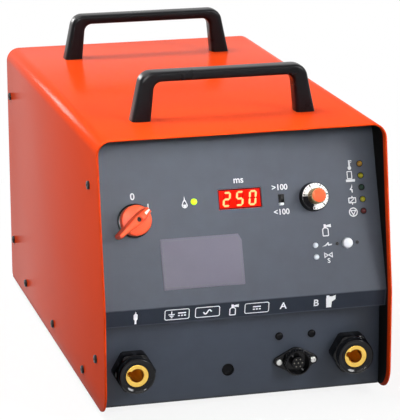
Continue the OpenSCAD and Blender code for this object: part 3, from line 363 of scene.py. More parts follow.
def finish(name, colour, rough, metal=0.0, shade=0.9, cloud=40.0, spread=0.08, grain_scale=900.0,
           grain_depth=0.02, glow=(1, 1, 1), glow_strength=0.0, specular=0.5):
    """A material of one colour with mottle, uneven gloss and a fine grain; grain depth is in mm."""
    material = bpy.data.materials.new(name)
    material.use_nodes = True
    tree = material.node_tree
    tint = add(tree, "Group", node_tree=mottle)
    feed(tree, tint, {"Light": (*colour, 1), "Dark": (*np.array(colour) * shade, 1), "Scale": cloud})
    gloss = add(tree, "Group", node_tree=smudge)
    feed(tree, gloss, {
        "Smooth": max(rough - spread / 2, LEAST_ROUGH), "Rough": min(rough + spread / 2, 1.0),
        "Scale": cloud * GLOSS_CLOUD})
    height = add(tree, "Group", {"Scale": grain_scale}, node_tree=grain)
    bump = add(tree, "Bump", {
        "Strength": BUMP_STRENGTH, "Distance": grain_depth * MM, "Height": height.outputs["Height"]})
    feed(tree, tree.nodes["Principled BSDF"], {
        "Base Color": tint.outputs["Color"], "Roughness": gloss.outputs["Roughness"],
        "Normal": bump.outputs["Normal"], "Metallic": metal, "Specular IOR Level": specular,
        "Emission Color": (*glow, 1), "Emission Strength": glow_strength})
    return material


print("no finish is smoother than", LEAST_ROUGH)

# %% [markdown]
# ## Table of finishes
# Each row gives a colour, a roughness and what differs from a plain plastic. The colours were found by
# comparing renders with the photograph. The black plastics get little specular, because the white
# room shows in every glossy surface. Pieces of the solid model take the finish of their own slot.

# %% Finishes
BLACK = (0.002, 0.002, 0.003)
LAMP_GLASS = {"cloud": 250, "specular": 0.3}
PANEL_GRAIN = {"shade": 0.88, "cloud": 60, "grain_scale": 1500, "grain_depth": 0.05}
LOOKS = {
    "cover_paint": ((0.80, 0.062, 0.008), 0.2, {
        "shade": 0.95, "cloud": 6, "spread": 0.06, "grain_scale": 420, "grain_depth": 0.03,
        "specular": 0.005}),
    "panel_paint": ((0.030, 0.039, 0.057), 0.42, {**PANEL_GRAIN, "specular": 0.38}),
    # Painted shade for the label strip, which faces a little downwards.
    "strip_painted_shade": ((0.014, 0.019, 0.031), 0.42, {**PANEL_GRAIN, "specular": 0.2}),
    "tray_steel": ((0.03, 0.034, 0.042), 0.45, {"shade": 0.85, "cloud": 50, "specular": 0.3}),
    "foot_rubber": ((0.018, 0.018, 0.018), 0.75, {"grain_scale": 1200, "grain_depth": 0.05}),
    "black_screw": ((0.006, 0.006, 0.007), 0.36, {"shade": 0.7, "cloud": 300, "specular": 0.25}),
    "zinc_screw": ((0.66, 0.66, 0.64), 0.3, {"metal": 1, "shade": 0.8, "cloud": 300}),
    "handle_plastic": ((0.003, 0.003, 0.004), 0.3, {"shade": 0.8, "grain_scale": 1100, "specular": 0.14}),
    "knob_red": ((0.84, 0.088, 0.022), 0.34, {"shade": 0.93, "cloud": 60, "specular": 0.32}),
    "black_plastic": ((0.004, 0.004, 0.005), 0.24, {
        "shade": 0.75, "cloud": 90, "grain_scale": 1400, "specular": 0.16}),
    "shell_black": (BLACK, 0.13, {"shade": 0.8, "cloud": 120, "specular": 0.24}),
    "plug_black": (BLACK, 0.2, {"shade": 0.8, "cloud": 120, "specular": 0.1}),
    # The dial's unmarked sector, black partly as painted shadow.
    "gap_and_shadow_black": (BLACK, 0.5, {"specular": 0.05}),
    # Painted shade for the inside of the hood.
    "painted_shade_black": ((0.004, 0.004, 0.004), 0.8, {"specular": 0.05}),
    "barrel_bronze": ((0.27, 0.185, 0.085), 0.36, {"metal": 1, "shade": 0.8, "cloud": 200}),
    "display_face": ((0.25, 0.002, 0.001), 0.3, {
        "glow": (1.0, 0.008, 0.0), "glow_strength": 0.85, "specular": 0.02}),
    "display_dark": ((0.12, 0.001, 0.001), 0.4, {
        "glow": (0.8, 0.004, 0.0), "glow_strength": 0.8, "specular": 0.02}),
    # Painted shade round the edge of the display window.
    "display_edge_shade": ((0.03, 0.001, 0.001), 0.4, {
        "glow": (0.16, 0.0, 0.0), "glow_strength": 0.8, "specular": 0.05}),
    "display_lit": ((0.05, 0.04, 0.015), 0.4, {
        "glow": (1.0, 0.8, 0.3), "glow_strength": 0.92, "specular": 0.05}),
    "white_plastic": ((0.74, 0.77, 0.8), 0.32, {"shade": 0.94, "cloud": 120}),
    "dial_white": ((0.88, 0.88, 0.86), 0.4, {"shade": 0.95, "cloud": 200}),
    "knob_grey": ((0.42, 0.36, 0.27), 0.28, {"metal": 0.9, "shade": 0.85, "cloud": 200}),
    "cap_orange": ((0.90, 0.105, 0.03), 0.35, {"shade": 0.94, "cloud": 150, "specular": 0.15}),
    "lamp_lit": ((0.4, 0.75, 0.02), 0.2, {"glow": (0.5, 0.86, 0.0), "glow_strength": 0.9}),
    "lamp_amber": ((0.4, 0.19, 0.008), 0.14, LAMP_GLASS),
    "lamp_yellow": ((0.34, 0.32, 0.008), 0.14, LAMP_GLASS),
    "lamp_green": ((0.004, 0.026, 0.014), 0.14, LAMP_GLASS),
    "lamp_red": ((0.1, 0.004, 0.004), 0.14, LAMP_GLASS),
    "lamp_clear": ((0.68, 0.74, 0.8), 0.15, {"shade": 0.93, "cloud": 250}),
    "plate_silver": ((0.11, 0.104, 0.139), 0.45, {"shade": 0.92, "cloud": 30, "specular": 0.25}),
    "plate_frame": ((0.1, 0.1, 0.115), 0.45, {}),
    "socket_brass": ((0.93, 0.60, 0.13), 0.2, {"metal": 1, "shade": 0.85, "cloud": 150}),
    # Painted shade for the inside of the contact's bore.
    "contact_bore_shade": ((0.66, 0.36, 0.038), 0.3, {"metal": 1, "shade": 0.8}),
    "dark_pin": ((0.16, 0.15, 0.13), 0.35, {"metal": 0.9, "shade": 0.8, "cloud": 200}),
    "copper": ((0.75, 0.36, 0.19), 0.35, {"metal": 1, "shade": 0.8, "cloud": 80}),
    "core_steel": ((0.14, 0.14, 0.15), 0.6, {"shade": 0.7, "cloud": 80}),
    "clamp_steel": ((0.04, 0.04, 0.045), 0.45, {"shade": 0.8}),
    "board_green": ((0.015, 0.11, 0.045), 0.4, {"shade": 0.8}),
    "sink_aluminium": ((0.75, 0.75, 0.76), 0.35, {"metal": 1, "shade": 0.85}),
    "shaft_steel": ((0.66, 0.66, 0.66), 0.25, {"metal": 1, "shade": 0.85}),
    "guard_wire": ((0.66, 0.66, 0.66), 0.18, {"metal": 1, "shade": 0.85}),
    "print_white": ((0.93, 0.94, 0.96), 0.5, {"shade": 0.97, "cloud": 200}),
    "panel_print": ((0.58, 0.59, 0.6), 0.5, {"shade": 0.97, "cloud": 200, "specular": 0.2}),
    "print_black": ((0.02, 0.02, 0.02), 0.5, {"cloud": 200}),
}
FINISHES = {name: finish(name, colour, rough, **more) for name, (colour, rough, more) in LOOKS.items()}
SLOT_OF = {part["node"]: part["material_slot"] for part in frame["record"]["subparts"]}
for node, slot in SLOT_OF.items():
    mesh = frame["nodes"][node].data
    mesh.materials.clear()
    mesh.materials.append(FINISHES[slot])
print("finishes:", len(FINISHES))

# %% [markdown]
# ## Shapes from arrays
# Every new piece is a grid of points worked out with numpy. A turned part is a profile carried
# round an axis, a moulded part is a stack of rings, and a bar is a section carried along a path.
# The grid's neighbours become faces in one step, and open ends are closed with a cap.


# %% Grids and rings
def grid_faces(rows, columns):
    """Quads between neighbours of a grid whose columns close on themselves."""
    row = np.arange(rows - 1)[:, None] * columns
    column = np.arange(columns)[None, :]
    following = (column + 1) % columns
    quads = [row + column, row + following, row + columns + following, row + columns + column]
    return np.stack(quads, -1).reshape(-1, 4).tolist()


def stack(rings, capped=True):
    """A shell through rings of equal size, an array of ring, point and xyz, with both ends capped."""
    rings = np.asarray(rings, float)
    count, sides = rings.shape[:2]
    faces = grid_faces(count, sides)
    if capped:
        faces.append(list(range(sides))[::-1])
        faces.append(list(range((count - 1) * sides, count * sides)))
    return rings.reshape(-1, 3), faces


def at_height(outline, z):
    """A flat outline lifted to a height."""
    return np.column_stack([outline, np.full(len(outline), z)])


def around(sides):
    """The angles of a full turn in equal steps."""
    return np.linspace(0, 2 * np.pi, sides, endpoint=False)


def lathe(levels, angle):
    """Rings round the third axis, (r cos a, r sin a, z), with r a number or one for each angle."""
    flat = [(np.column_stack([r * np.cos(angle), r * np.sin(angle)]), z) for r, z in levels]
    return stack([at_height(ring, z) for ring, z in flat], capped=False)


def turned(profile, sides=48):
    """A profile of radius and height carried round the third axis."""
    return lathe(profile, around(sides))


def ringed(profile, sides=48):
    """A closed profile carried round the third axis, for a part with a bore."""
    return turned([*profile, profile[0]], sides)


def circle(radius, sides=48, centre=(0, 0), start=0.0):
    """Points of a circle, counter-clockwise."""
    angle = around(sides) + start
    return np.stack([np.cos(angle), np.sin(angle)], -1) * radius + np.asarray(centre)


def squared_circle(sides, power):
    """A circle pressed towards a square: each coordinate's size is raised to a power below one."""
    points = circle(1, sides)
    return (np.sign(points) * np.abs(points) ** power).T


def rounded_edge(radius, top, edge, steps):
    """A quarter circle in radius and height, from the side of a turned part over to its top."""
    turn = np.linspace(0, np.pi / 2, steps + 1)
    return np.column_stack([radius - edge * (1 - np.cos(turn)), top - edge * (1 - np.sin(turn))])


print("a tube of 8 sides has", len(turned([(1, 0), (1, 1)], 8)[1]), "faces")

# %% [markdown]
# ## Outlines and prisms
# A moulded or cut part starts from a flat outline. Its corners could be rounded with a modifier, but
# an outline worked out beforehand keeps every size exact. Moved inwards along its mitres, it gives
# the rings of a rounded edge.


# %% Outlines and prisms
def filleted(points, radii, steps, closed=True):
    """A line with its corners rounded: each corner gives way to an arc that touches both sides."""
    points = np.asarray(points, float)
    made = []
    for i, (corner, radius) in enumerate(zip(points, radii)):
        at_end = not closed and i in (0, len(points) - 1)
        if radius <= 0 or at_end:
            made.append(corner[None])
            continue
        before, after = points[i - 1] - corner, points[(i + 1) % len(points)] - corner
        before, after = before / np.linalg.norm(before), after / np.linalg.norm(after)
        half = np.arccos(np.clip(before @ after, -1, 1)) / 2
        middle = corner + (before + after) / np.linalg.norm(before + after) * radius / np.sin(half)
        start = corner + before * radius / np.tan(half) - middle
        end = corner + after * radius / np.tan(half) - middle
        turn = np.linspace(0, 1, steps + 1)[:, None]
        arc = np.pi - 2 * half
        made.append(middle + (np.sin((1 - turn) * arc) * start + np.sin(turn * arc) * end) / np.sin(arc))
    return np.concatenate(made)


def box_line(width, height, corner=0.5):
    """The outline of a rectangle round zero, with rounded corners."""
    w, h = width / 2, height / 2
    return filleted([(-w, -h), (w, -h), (w, h), (-w, h)], [corner] * 4, 4)


def inset(outline, distance):
    """A closed outline moved inwards by a distance, corner by corner along the mitre."""
    ahead_of = np.roll(outline, -1, 0) - outline
    ahead_of = ahead_of / np.linalg.norm(ahead_of, axis=1, keepdims=True)
    behind = np.roll(ahead_of, 1, 0)
    inward = np.stack([-ahead_of[:, 1], ahead_of[:, 0]], -1)
    inward_behind = np.stack([-behind[:, 1], behind[:, 0]], -1)
    mitre = (inward + inward_behind) / (1 + (inward * inward_behind).sum(1, keepdims=True))
    return outline + mitre * distance


def moulded(outline, low, high, edge, steps):
    """A prism over a counter-clockwise outline, from low to high, with its top edge rounded."""
    rounding = rounded_edge(0, high, edge, steps)
    return stack([at_height(outline, low), *(at_height(inset(outline, -out), z) for out, z in rounding)])


def moved(part, by):
    """A part shifted within its own axes."""
    points, faces = part
    return points + np.asarray(by, float), faces


print("a rounded square has", len(box_line(1, 1, 0.1)), "points")

# %% [markdown]
# ## From parts to pieces
# A piece is one object, made from one or more parts in the axes of a face. Points that meet are
# merged, the normals are turned outwards, and edges sharper than an angle stay sharp. Each piece
# then rides on the body that it moves with. A stand-in takes the place of one node of the solid model.

# %% Pieces
MERGE = 1e-7


def piece(name, parts, face, body, look, replaces=(), sharp=35):
    """One object from parts given in a face's own axes, with a look, riding on a body."""
    points, faces, first = [], [], 0
    for part_points, part_faces in parts:
        points.append(face.to_model(part_points))
        faces += [[i + first for i in corners] for corners in part_faces]
        first += len(part_points)
    mesh = bpy.data.meshes.new(name)
    mesh.from_pydata(np.concatenate(points).tolist(), [], faces)
    shell = bmesh.new()
    shell.from_mesh(mesh)
    bmesh.ops.remove_doubles(shell, verts=shell.verts, dist=MERGE)
    bmesh.ops.recalc_face_normals(shell, faces=shell.faces)
    shell.to_mesh(mesh)
    shell.free()
    mesh.shade_smooth()
    mesh.set_sharp_from_angle(angle=math.radians(sharp))
    mesh.materials.append(FINISHES[look])
    made = bpy.data.objects.new(name, mesh)
    scene.collection.objects.link(made)
    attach(made, body)
    if replaces:
        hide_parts(*replaces)
    return made


def stand_in(node, parts, face, body="case", look=None, sharp=35):
    """A detailed piece in place of one node, in that node's own finish unless another look is named."""
    slot = SLOT_OF[node]
    return piece(node + "_detail", parts, face, body, look or slot, [node], sharp)


print("nodes that can be replaced:", len(SLOT_OF))

# %% [markdown]
# ## Arch of the cover
# One sheet is folded into two sides and a top. Its section is an arch: straight side, bend, flat
# top, bend, straight side. The front edge is upright up to a knee and then raked, and the lower
# corners are round, so both edges are given as a y for every height.

# %% Arch of the cover
COVER_BEND, FRONT_CORNER, BACK_CORNER = 14.0, 25.0, 6.0
BEND_STEPS, CORNER_STEPS, SIDE_STEPS, RAKE_STEPS = 12, 14, 3, 4

case_low, case_high = floor.span("cover")
cover_points = floor.local("cover")
top_front_y = cover_points[cover_points[:, 2] > case_high[2] - 1][:, 1].min()
knee_z = panel_edge[2] / MM
bend_z = case_high[2] - COVER_BEND


def corner_setback(height, radius):
    """How far a round lower corner has drawn the sheet's edge in at a height above the lower edge."""
    below = np.clip(radius - height, 0, radius)
    return radius - np.sqrt(radius**2 - below**2)


def sheet_front(z):
    """The y of the front edge at a height: upright to the knee, then raked back to the top."""
    rake = np.clip((z - knee_z) / (case_high[2] - knee_z), 0, 1)
    return case_low[1] + rake * (top_front_y - case_low[1]) + corner_setback(z - case_low[2], FRONT_CORNER)


def sheet_back(z):
    """The y of the back edge at a height: upright, over its own round corner."""
    return case_high[1] - corner_setback(z - case_low[2], BACK_CORNER)


corner_turn = np.linspace(0, np.pi / 2, CORNER_STEPS + 1)
corner_heights = case_low[2] + FRONT_CORNER * (1 - np.cos(corner_turn))
side_heights = np.concatenate([
    corner_heights, np.linspace(corner_heights[-1], knee_z, SIDE_STEPS + 1)[1:],
    np.linspace(knee_z, bend_z, RAKE_STEPS + 1)[1:]])
bend_turn = np.linspace(0, np.pi / 2, BEND_STEPS + 1)[1:]
bend_normal = np.stack([-np.cos(bend_turn), np.sin(bend_turn)], -1)
left_normal = np.concatenate([np.tile([-1.0, 0.0], (len(side_heights), 1)), bend_normal])
left_x = COVER_BEND - case_high[0] + COVER_BEND * left_normal[:, 0]
left_z = np.concatenate([side_heights, np.full(BEND_STEPS, bend_z)]) + COVER_BEND * left_normal[:, 1]
arch_x = np.concatenate([left_x, -left_x[::-1]])
arch_z = np.concatenate([left_z, left_z[::-1]])
arch_normal = np.concatenate([left_normal, left_normal[::-1] * [-1, 1]])
print("the arch has", len(arch_x), "points")

# %% [markdown]
# ## Sheet of the cover, and painted shade in the hood
# Each point of the arch carries a closed strip round the sheet, from the back edge along the inside
# to the front edge and home along the outside, with both sheet edges rounded. A modifier could
# thicken a plain sheet, but it wouldn't round its edges. Behind the front edge a thin black film
# lies on the inside of the hood as painted shade, where that inner face lies in shadow.


# %% Cover
def along_arch(strip_y, depth):
    """A closed strip at every point of the arch: y as given, and depth along the sheet's normal."""
    x = arch_x[:, None] + arch_normal[:, :1] * depth
    z = arch_z[:, None] + arch_normal[:, 1:] * depth
    return stack(np.stack([x, strip_y, z], -1))


COVER_SHEET, EDGE_STEPS = 2.0, 8
round_edge = COVER_SHEET / 2
half_turn = np.linspace(0, np.pi, EDGE_STEPS + 1)
back_edge = np.stack([np.sin(half_turn), -1 + np.cos(half_turn)], -1) * round_edge
front_edge = np.stack([-np.sin(half_turn), -1 - np.cos(half_turn)], -1) * round_edge
y_front, y_back = sheet_front(arch_z), sheet_back(arch_z)
sheet_y = np.concatenate([
    (y_back - round_edge)[:, None] + back_edge[:, 0], (y_front + round_edge)[:, None] + front_edge[:, 0]], 1)
sheet_depth = np.concatenate([back_edge[:, 1], front_edge[:, 1]])
stand_in("cover", [along_arch(sheet_y, sheet_depth)], floor, sharp=50)

# The black film of painted shade: where it starts and ends behind the front edge, and how far it stands off the
# sheet.
HOOD_SHADE_FROM, HOOD_SHADE_TO, HOOD_SHADE_NEAR, HOOD_SHADE_FAR = 7, 60, 0.03, 0.13
hood_shade_y = y_front[:, None] + [HOOD_SHADE_FROM, HOOD_SHADE_TO, HOOD_SHADE_TO, HOOD_SHADE_FROM]
hood_shade_depth = -COVER_SHEET - np.array([HOOD_SHADE_NEAR, HOOD_SHADE_NEAR, HOOD_SHADE_FAR, HOOD_SHADE_FAR])
hood_shade = along_arch(hood_shade_y, hood_shade_depth)
piece("hood_painted_shade", [hood_shade], floor, "case", "painted_shade_black", sharp=50)
print("cover front edge from", np.round(y_front.min(), 1), "to", np.round(y_front.max(), 1), "mm")

# %% [markdown]
# ## The handles
# Two moulded bridge handles are bolted through the top. Seen from the front, a handle lies between
# an outer and an inner line, each a leg, a round corner, the bar and back down. At every station a
# rounded box section is stretched between the two lines.

# %% Handles
HANDLE_OUTER_ROUND, HANDLE_INNER_ROUND = 13, 8
LEG_FOOT, LEG_LEAN, LEG_TAPER, GRIP = 19, 10, 3.5, 10
LEG_STEPS, ARC_STEPS, BAR_STEPS, SECTION_SIDES = 8, 8, 12, 40
HANDLE_POWER = 2 / 4.5


def bridge_line(half, top, lean, bend):
    """One line of the bridge: leg, corner, bar, corner, leg, with as many points for any size."""
    corners = [(-half, 0), (-half + lean, top), (half - lean, top), (half, 0)]
    line = filleted(corners, [0, bend, bend, 0], ARC_STEPS, closed=False)
    left, right = line[1:ARC_STEPS + 2], line[ARC_STEPS + 2:-1]
    leg = np.linspace(0, 1, LEG_STEPS + 1)[:, None]
    bar = np.linspace(0, 1, BAR_STEPS)[1:-1, None]
    return np.concatenate([
        line[0] + leg[:-1] * (left[0] - line[0]), left, left[-1] + bar * (right[0] - left[-1]),
        right, right[-1] + leg[1:] * (line[-1] - right[-1])])


def bridge_handle(node):
    """A bar between both lines: at each station a squared circle that fills their gap."""
    low, high = floor.span(node)
    half, height = high[0], high[2] - low[2]
    outer = bridge_line(half, height, LEG_LEAN, HANDLE_OUTER_ROUND)
    inner = bridge_line(half - LEG_FOOT, height - GRIP, LEG_TAPER, HANDLE_INNER_ROUND)
    across, deep = squared_circle(SECTION_SIDES, HANDLE_POWER)
    flat = ((outer + inner) / 2)[:, None] + ((outer - inner) / 2)[:, None] * across[:, None]
    depth = np.broadcast_to((low[1] + high[1]) / 2 + deep * (high[1] - low[1]) / 2, flat.shape[:2])
    stand_in(node, [stack(np.stack([flat[..., 0], depth, low[2] + flat[..., 1]], -1))], floor, sharp=60)
    return height


for node in ("front_handle", "rear_handle"):
    print(node, "stands", round(bridge_handle(node), 1), "mm high")

# %% [markdown]
# ## Feet
# Each foot is a turned rubber puck with a hollow in its sole and a barbed stem that snaps into the
# tray. Its places come from the corners of the solid feet.

# %% Feet
FOOT_RADIUS = 15


def corner_places(node, inset_by):
    """The four places that lie an inset inside the corners of a node's box, seen from above."""
    low, high = floor.span(node)
    low, high = low + inset_by, high - inset_by
    return [(x, y, 0) for x in (low[0], high[0]) for y in (low[1], high[1])]


foot_profile = [
    (0, 1), (5, 1), (5.6, 0), (11.6, 0), (12.4, 0.3), (12.9, 1), (14.7, 7.2), (14.9, 7.7), (14.6, 8),
    (4, 8), (4, 10), (5.5, 10), (5.5, 11.2), (4.2, 13), (0, 13)]
feet = [moved(turned(foot_profile), place) for place in corner_places("rubber_feet", FOOT_RADIUS)]
stand_in("rubber_feet", feet, floor)
print("feet:", len(feet))

# %% [markdown]
# ## Screws
# The screws made here have a round head with a hexagonal socket. It is a stack of rings: circles up
# the outside and over the rounded edge, then hexagons down into the socket. A ring can pass from
# circle to hexagon because both have a point at every angle.

# %% Screw heads
ROUND = around(48)
CROWN_SHARE, MOUTH, CHAMFER = 0.45, 1.12, 0.15


def polygon_radius(angle, sides, corner):
    """Distance from the middle to the edge of a regular polygon in a direction: apothem over cosine."""
    wedge = 2 * np.pi / sides
    off = np.abs((angle % wedge) - wedge / 2)
    return corner * np.cos(wedge / 2) / np.cos(off)


def screw_head(radius, height, key, depth, shank, length):
    """A pan head with a hexagonal socket, standing on zero, with its shank below."""
    socket = polygon_radius(ROUND, 6, key)
    outside = [(0, -length), (shank, -length), (shank, 0), (radius, 0)]
    crown = rounded_edge(radius, height, height * CROWN_SHARE, 4)
    inside = [
        (socket * MOUTH, height), (socket, height - depth * CHAMFER), (socket, height - depth),
        (0, height - depth * (1 + CHAMFER))]
    return lathe([*outside, *crown, *inside], ROUND)


COVER_HEAD = (4.0, 2.2, 1.6, 1.2, 2.0, 9.0)
HEAD_ABOVE, HEAD_APART = 1.98, 9.6
half_width = case_high[0] * MM
cover_screws = []
for side in (Face((-half_width, 0, 0), (0, -1, 0), UP), Face((half_width, 0, 0), (0, 1, 0), UP)):
    for place in side.places("cover_screws", HEAD_ABOVE, HEAD_APART):
        points, faces = moved(screw_head(*COVER_HEAD), place)
        cover_screws.append((floor.seen(side.to_model(points)), faces))
stand_in("cover_screws", cover_screws, floor)
print("cover screws:", len(cover_screws))

# %% [markdown]
# ## Main switch
# A red rotary knob turns on a black rosette. Where its pointer rests is read from the solid knob, by
# the end of its tail, and gives a face that is turned with it. On that face the knob can be drawn as
# if it stood upright. The rosette is a ring with a rounded edge, so it is turned.

# %% Rosette and switch axes
SHAFT_HOLE, ROSETTE_HOLE = 3.05, 3.4
TAIL_END = 0.5
switch_middle = panel.seen(joints["main_switch_turn"]["pos_m"]) * FLAT
knob_low, knob_high = panel.span("main_switch_knob")
knob_local = panel.local("main_switch_knob") - switch_middle
knob_reach = np.hypot(knob_local[:, 0], knob_local[:, 1])
tail_reach = knob_reach.max()
tail = knob_local[knob_reach > tail_reach - TAIL_END].mean(0)
pointer_turn = math.atan2(-tail[0], -tail[1])
switch_face = Face(
    panel.to_model(switch_middle),
    math.cos(pointer_turn) * panel.axes[0] - math.sin(pointer_turn) * panel.axes[1],
    math.sin(pointer_turn) * panel.axes[0] + math.cos(pointer_turn) * panel.axes[1])

rosette_low, rosette_high = panel.span("main_switch_rosette")
rosette_radius, rosette_top = (rosette_high[0] - rosette_low[0]) / 2, rosette_high[2]
rosette_profile = [
    (ROSETTE_HOLE, 0), (rosette_radius, 0), (rosette_radius, rosette_top - 0.8),
    (rosette_radius - 0.3, rosette_top - 0.25), (rosette_radius - 0.8, rosette_top),
    (ROSETTE_HOLE, rosette_top)]
stand_in("main_switch_rosette", [ringed(rosette_profile, 72)], switch_face)
print("switch pointer stands", round(math.degrees(pointer_turn)), "degrees clockwise of upright")

# %% [markdown]
# ## Knob of the switch
# The knob is a red moulding, a disc with a lever across it. The disc is turned. The lever could be a
# scaled box, but a row of rounded sections follows its swell and its falling top more closely.

# %% Switch knob
DISC_RADIUS, DISC_TOP, DISC_EDGE, DISC_RISE = 14.4, 13.0, 1.6, 0.6
WING_TIP, WING_POWER, WING_STEPS, WING_SIDES = 14.5, 0.4, 40, 32
TAIL_SHARE, TAIL_ROUND, TAIL_LEAST = 0.995, 1.2, 0.25
FLARE, FLARE_HEIGHT = 0.35, 20


def smooth_step(value):
    """Rises from zero to one with flat ends: three v squared less two v cubed."""
    value = np.clip(value, 0, 1)
    return value * value * (3 - 2 * value)


def wing_half_width(y):
    """Narrow at the tail, widest past the axis, and drawn in at the pointer's end."""
    return 2.5 + 2.1 * smooth_step((y + 22) / 20) - 1.6 * smooth_step((y - 7) / 7.5)


def wing_top(y):
    """Level over the tail and the axis, then falling to the pointer's end."""
    return knob_high[2] - 6.5 * smooth_step((y - 3) / 12)


disc_profile = [
    (SHAFT_HOLE, knob_low[2]), (DISC_RADIUS, knob_low[2]),
    *rounded_edge(DISC_RADIUS, DISC_TOP, DISC_EDGE, 5), (SHAFT_HOLE, DISC_TOP + DISC_RISE)]
along = np.linspace(-tail_reach * TAIL_SHARE, WING_TIP, WING_STEPS)
section_x, section_z = squared_circle(WING_SIDES, WING_POWER)
wing_z = knob_low[2] + (wing_top(along) - knob_low[2])[:, None] * (section_z + 1) / 2
flare = 1 + FLARE * np.clip(1 - (wing_z - knob_low[2]) / FLARE_HEIGHT, 0, 1) ** 2
end_round = np.sqrt(np.clip((along - along[0]) / TAIL_ROUND, TAIL_LEAST, 1))[:, None]
wing_x = wing_half_width(along)[:, None] * section_x * flare * end_round
wing = stack(np.stack([wing_x, np.broadcast_to(along[:, None], wing_x.shape), wing_z], -1))
knob = stand_in("main_switch_knob", [ringed(disc_profile, 72), wing], switch_face, "main_switch", sharp=40)
print("switch lever:", round(WING_TIP + tail_reach, 1), "mm long")

# %% [markdown]
# ## Screw and mark of the switch
# A screw at the bottom of a well holds the knob on its shaft. The well is a real hole, so it is cut
# with a Boolean. The white mark is a thin strip that follows the falling top of the lever.

# %% Switch screw and pointer mark
WELL_RADIUS, WELL_FLOOR = 2.5, 19.0
MARK_FROM, MARK_TO, MARK_WIDE, MARK_SLIM, MARK_STEPS = 8.0, 14.2, 1.3, 0.8, 12
MARK_SUNK, MARK_PROUD = 0.4, 0.08


def drill(target, parts, face, body, look):
    """Cuts parts out of a piece with a Boolean, and leaves the result as a plain mesh."""
    cutter = piece("cutter", parts, face, body, look)
    cut = target.modifiers.new("drill", "BOOLEAN")
    cut.object, cut.operation, cut.solver = cutter, "DIFFERENCE", "EXACT"
    view = bpy.context.evaluated_depsgraph_get()
    carved = bpy.data.meshes.new_from_object(target.evaluated_get(view))
    target.modifiers.clear()
    target.data = carved
    bpy.data.objects.remove(cutter)


well_top = knob_high[2] + 1
well = turned([(0, WELL_FLOOR), (WELL_RADIUS, WELL_FLOOR), (WELL_RADIUS, well_top), (0, well_top)], 40)
drill(knob, [well], switch_face, "main_switch", "knob_red")
knob_screw = moved(screw_head(2.2, 1.8, 1.3, 1.0, 1.5, 10), (0, 0, WELL_FLOOR))
stand_in("main_switch_knob_screw", [knob_screw], switch_face, "main_switch")

mark_y = np.linspace(MARK_FROM, MARK_TO, MARK_STEPS)
mark_half = np.linspace(MARK_WIDE, MARK_SLIM, MARK_STEPS)
mark_x = np.stack([-mark_half, mark_half, mark_half, -mark_half], 1)
mark_z = wing_top(mark_y)[:, None] + [-MARK_SUNK, -MARK_SUNK, MARK_PROUD, MARK_PROUD]
mark = stack(np.stack([mark_x, np.broadcast_to(mark_y[:, None], mark_x.shape), mark_z], -1))
piece("switch_pointer_mark", [mark], switch_face, "main_switch", "print_white")
print("switch knob has", len(knob.data.polygons), "faces with its screw well")

# %% [markdown]
# ## Time setting
# The knob is built up in layers: a black skirt, a white dial ring, a bright fluted barrel and an
# orange cap. The flutes are a power of a cosine of the angle, taken off the barrel's radius.

# %% Time knob
SKIRT_HOLLOW, SKIRT_WEB, DIAL_GAP = 9.5, 5.6, 0.1
FLUTES, FLUTE_DEPTH = 18, 0.55
time_middle = panel.seen(joints["time_knob_turn"]["pos_m"]) * FLAT
time_face = Face(panel.to_model(time_middle), panel.axes[0], panel.axes[1])
skirt_low, skirt_high = time_face.span("time_knob_skirt")
dial_low, dial_high = time_face.span("time_dial")
barrel_low, barrel_high = time_face.span("time_knob_barrel")
cap_low, cap_high = time_face.span("time_knob_cap")
skirt_r, dial_r, barrel_r, cap_r = skirt_high[0], dial_high[0], barrel_high[0], cap_high[0]
skirt_foot, skirt_top, dial_foot, dial_top = skirt_low[2], skirt_high[2], dial_low[2], dial_high[2]
barrel_foot, barrel_top, cap_foot, cap_top = barrel_low[2], barrel_high[2], cap_low[2], cap_high[2]


def fluted(radius, angle, count, depth, power):
    """A radius less the depth times a power of (1 - cos(count a)) / 2: that many flutes round it."""
    return radius - depth * (0.5 - 0.5 * np.cos(angle * count)) ** power


skirt = ringed([
    (SHAFT_HOLE, SKIRT_WEB), (SKIRT_HOLLOW, SKIRT_WEB), (SKIRT_HOLLOW, skirt_foot),
    (skirt_r - 0.2, skirt_foot), (skirt_r, skirt_foot + 0.3), (skirt_r - 0.5, skirt_top - 0.9),
    (skirt_r - 0.75, skirt_top - 0.25), (skirt_r - 1.2, skirt_top), (SHAFT_HOLE, skirt_top)], 96)
stand_in("time_knob_skirt", [skirt], time_face, "time_knob")
dial = ringed([
    (barrel_r + DIAL_GAP, dial_foot), (dial_r, dial_foot), (dial_r, dial_top - 0.25),
    (dial_r - 0.25, dial_top), (barrel_r + DIAL_GAP, dial_top)], 96)
stand_in("time_dial", [dial], time_face, "time_knob")

flute_angle = around(FLUTES * 12)
grip = fluted(barrel_r, flute_angle, FLUTES, FLUTE_DEPTH, 3)
time_barrel = lathe([
    (SHAFT_HOLE, barrel_foot), (barrel_r, barrel_foot), (barrel_r, dial_top + 0.6), (grip, dial_top + 1.4),
    (grip, barrel_top - 0.7), (grip - 0.5, barrel_top - 0.1), (grip - 0.9, barrel_top),
    (cap_r - 0.3, barrel_top), (SHAFT_HOLE, barrel_top - 1), (SHAFT_HOLE, barrel_foot)], flute_angle)
stand_in("time_knob_barrel", [time_barrel], time_face, "time_knob", look="barrel_bronze")
time_cap = turned([
    (0, cap_foot), (cap_r, cap_foot), (cap_r, cap_top - 0.7), (cap_r - 0.25, cap_top - 0.25),
    (cap_r - 0.8, cap_top - 0.05), (cap_r * 0.5, cap_top), (0, cap_top)], 72)
stand_in("time_knob_cap", [time_cap], time_face, "time_knob")
print("time knob radius", round(skirt_r, 1), "mm")

# %% [markdown]
# ## Lettering and signs
# Signs are printed on the real panel. Here each one is a film of paint a few hundredths of a
# millimetre thick. Letters and digits come from Blender's own font as a mesh. The small symbols are
# strokes: a line moved to both sides by half its width and closed into an outline.

# %% Lettering and strokes
FILM, SUNK = 0.06, 0.04
LETTER_WEIGHT, LETTER_STEPS, LETTER_DEPTH = 0.018, 4, 0.5


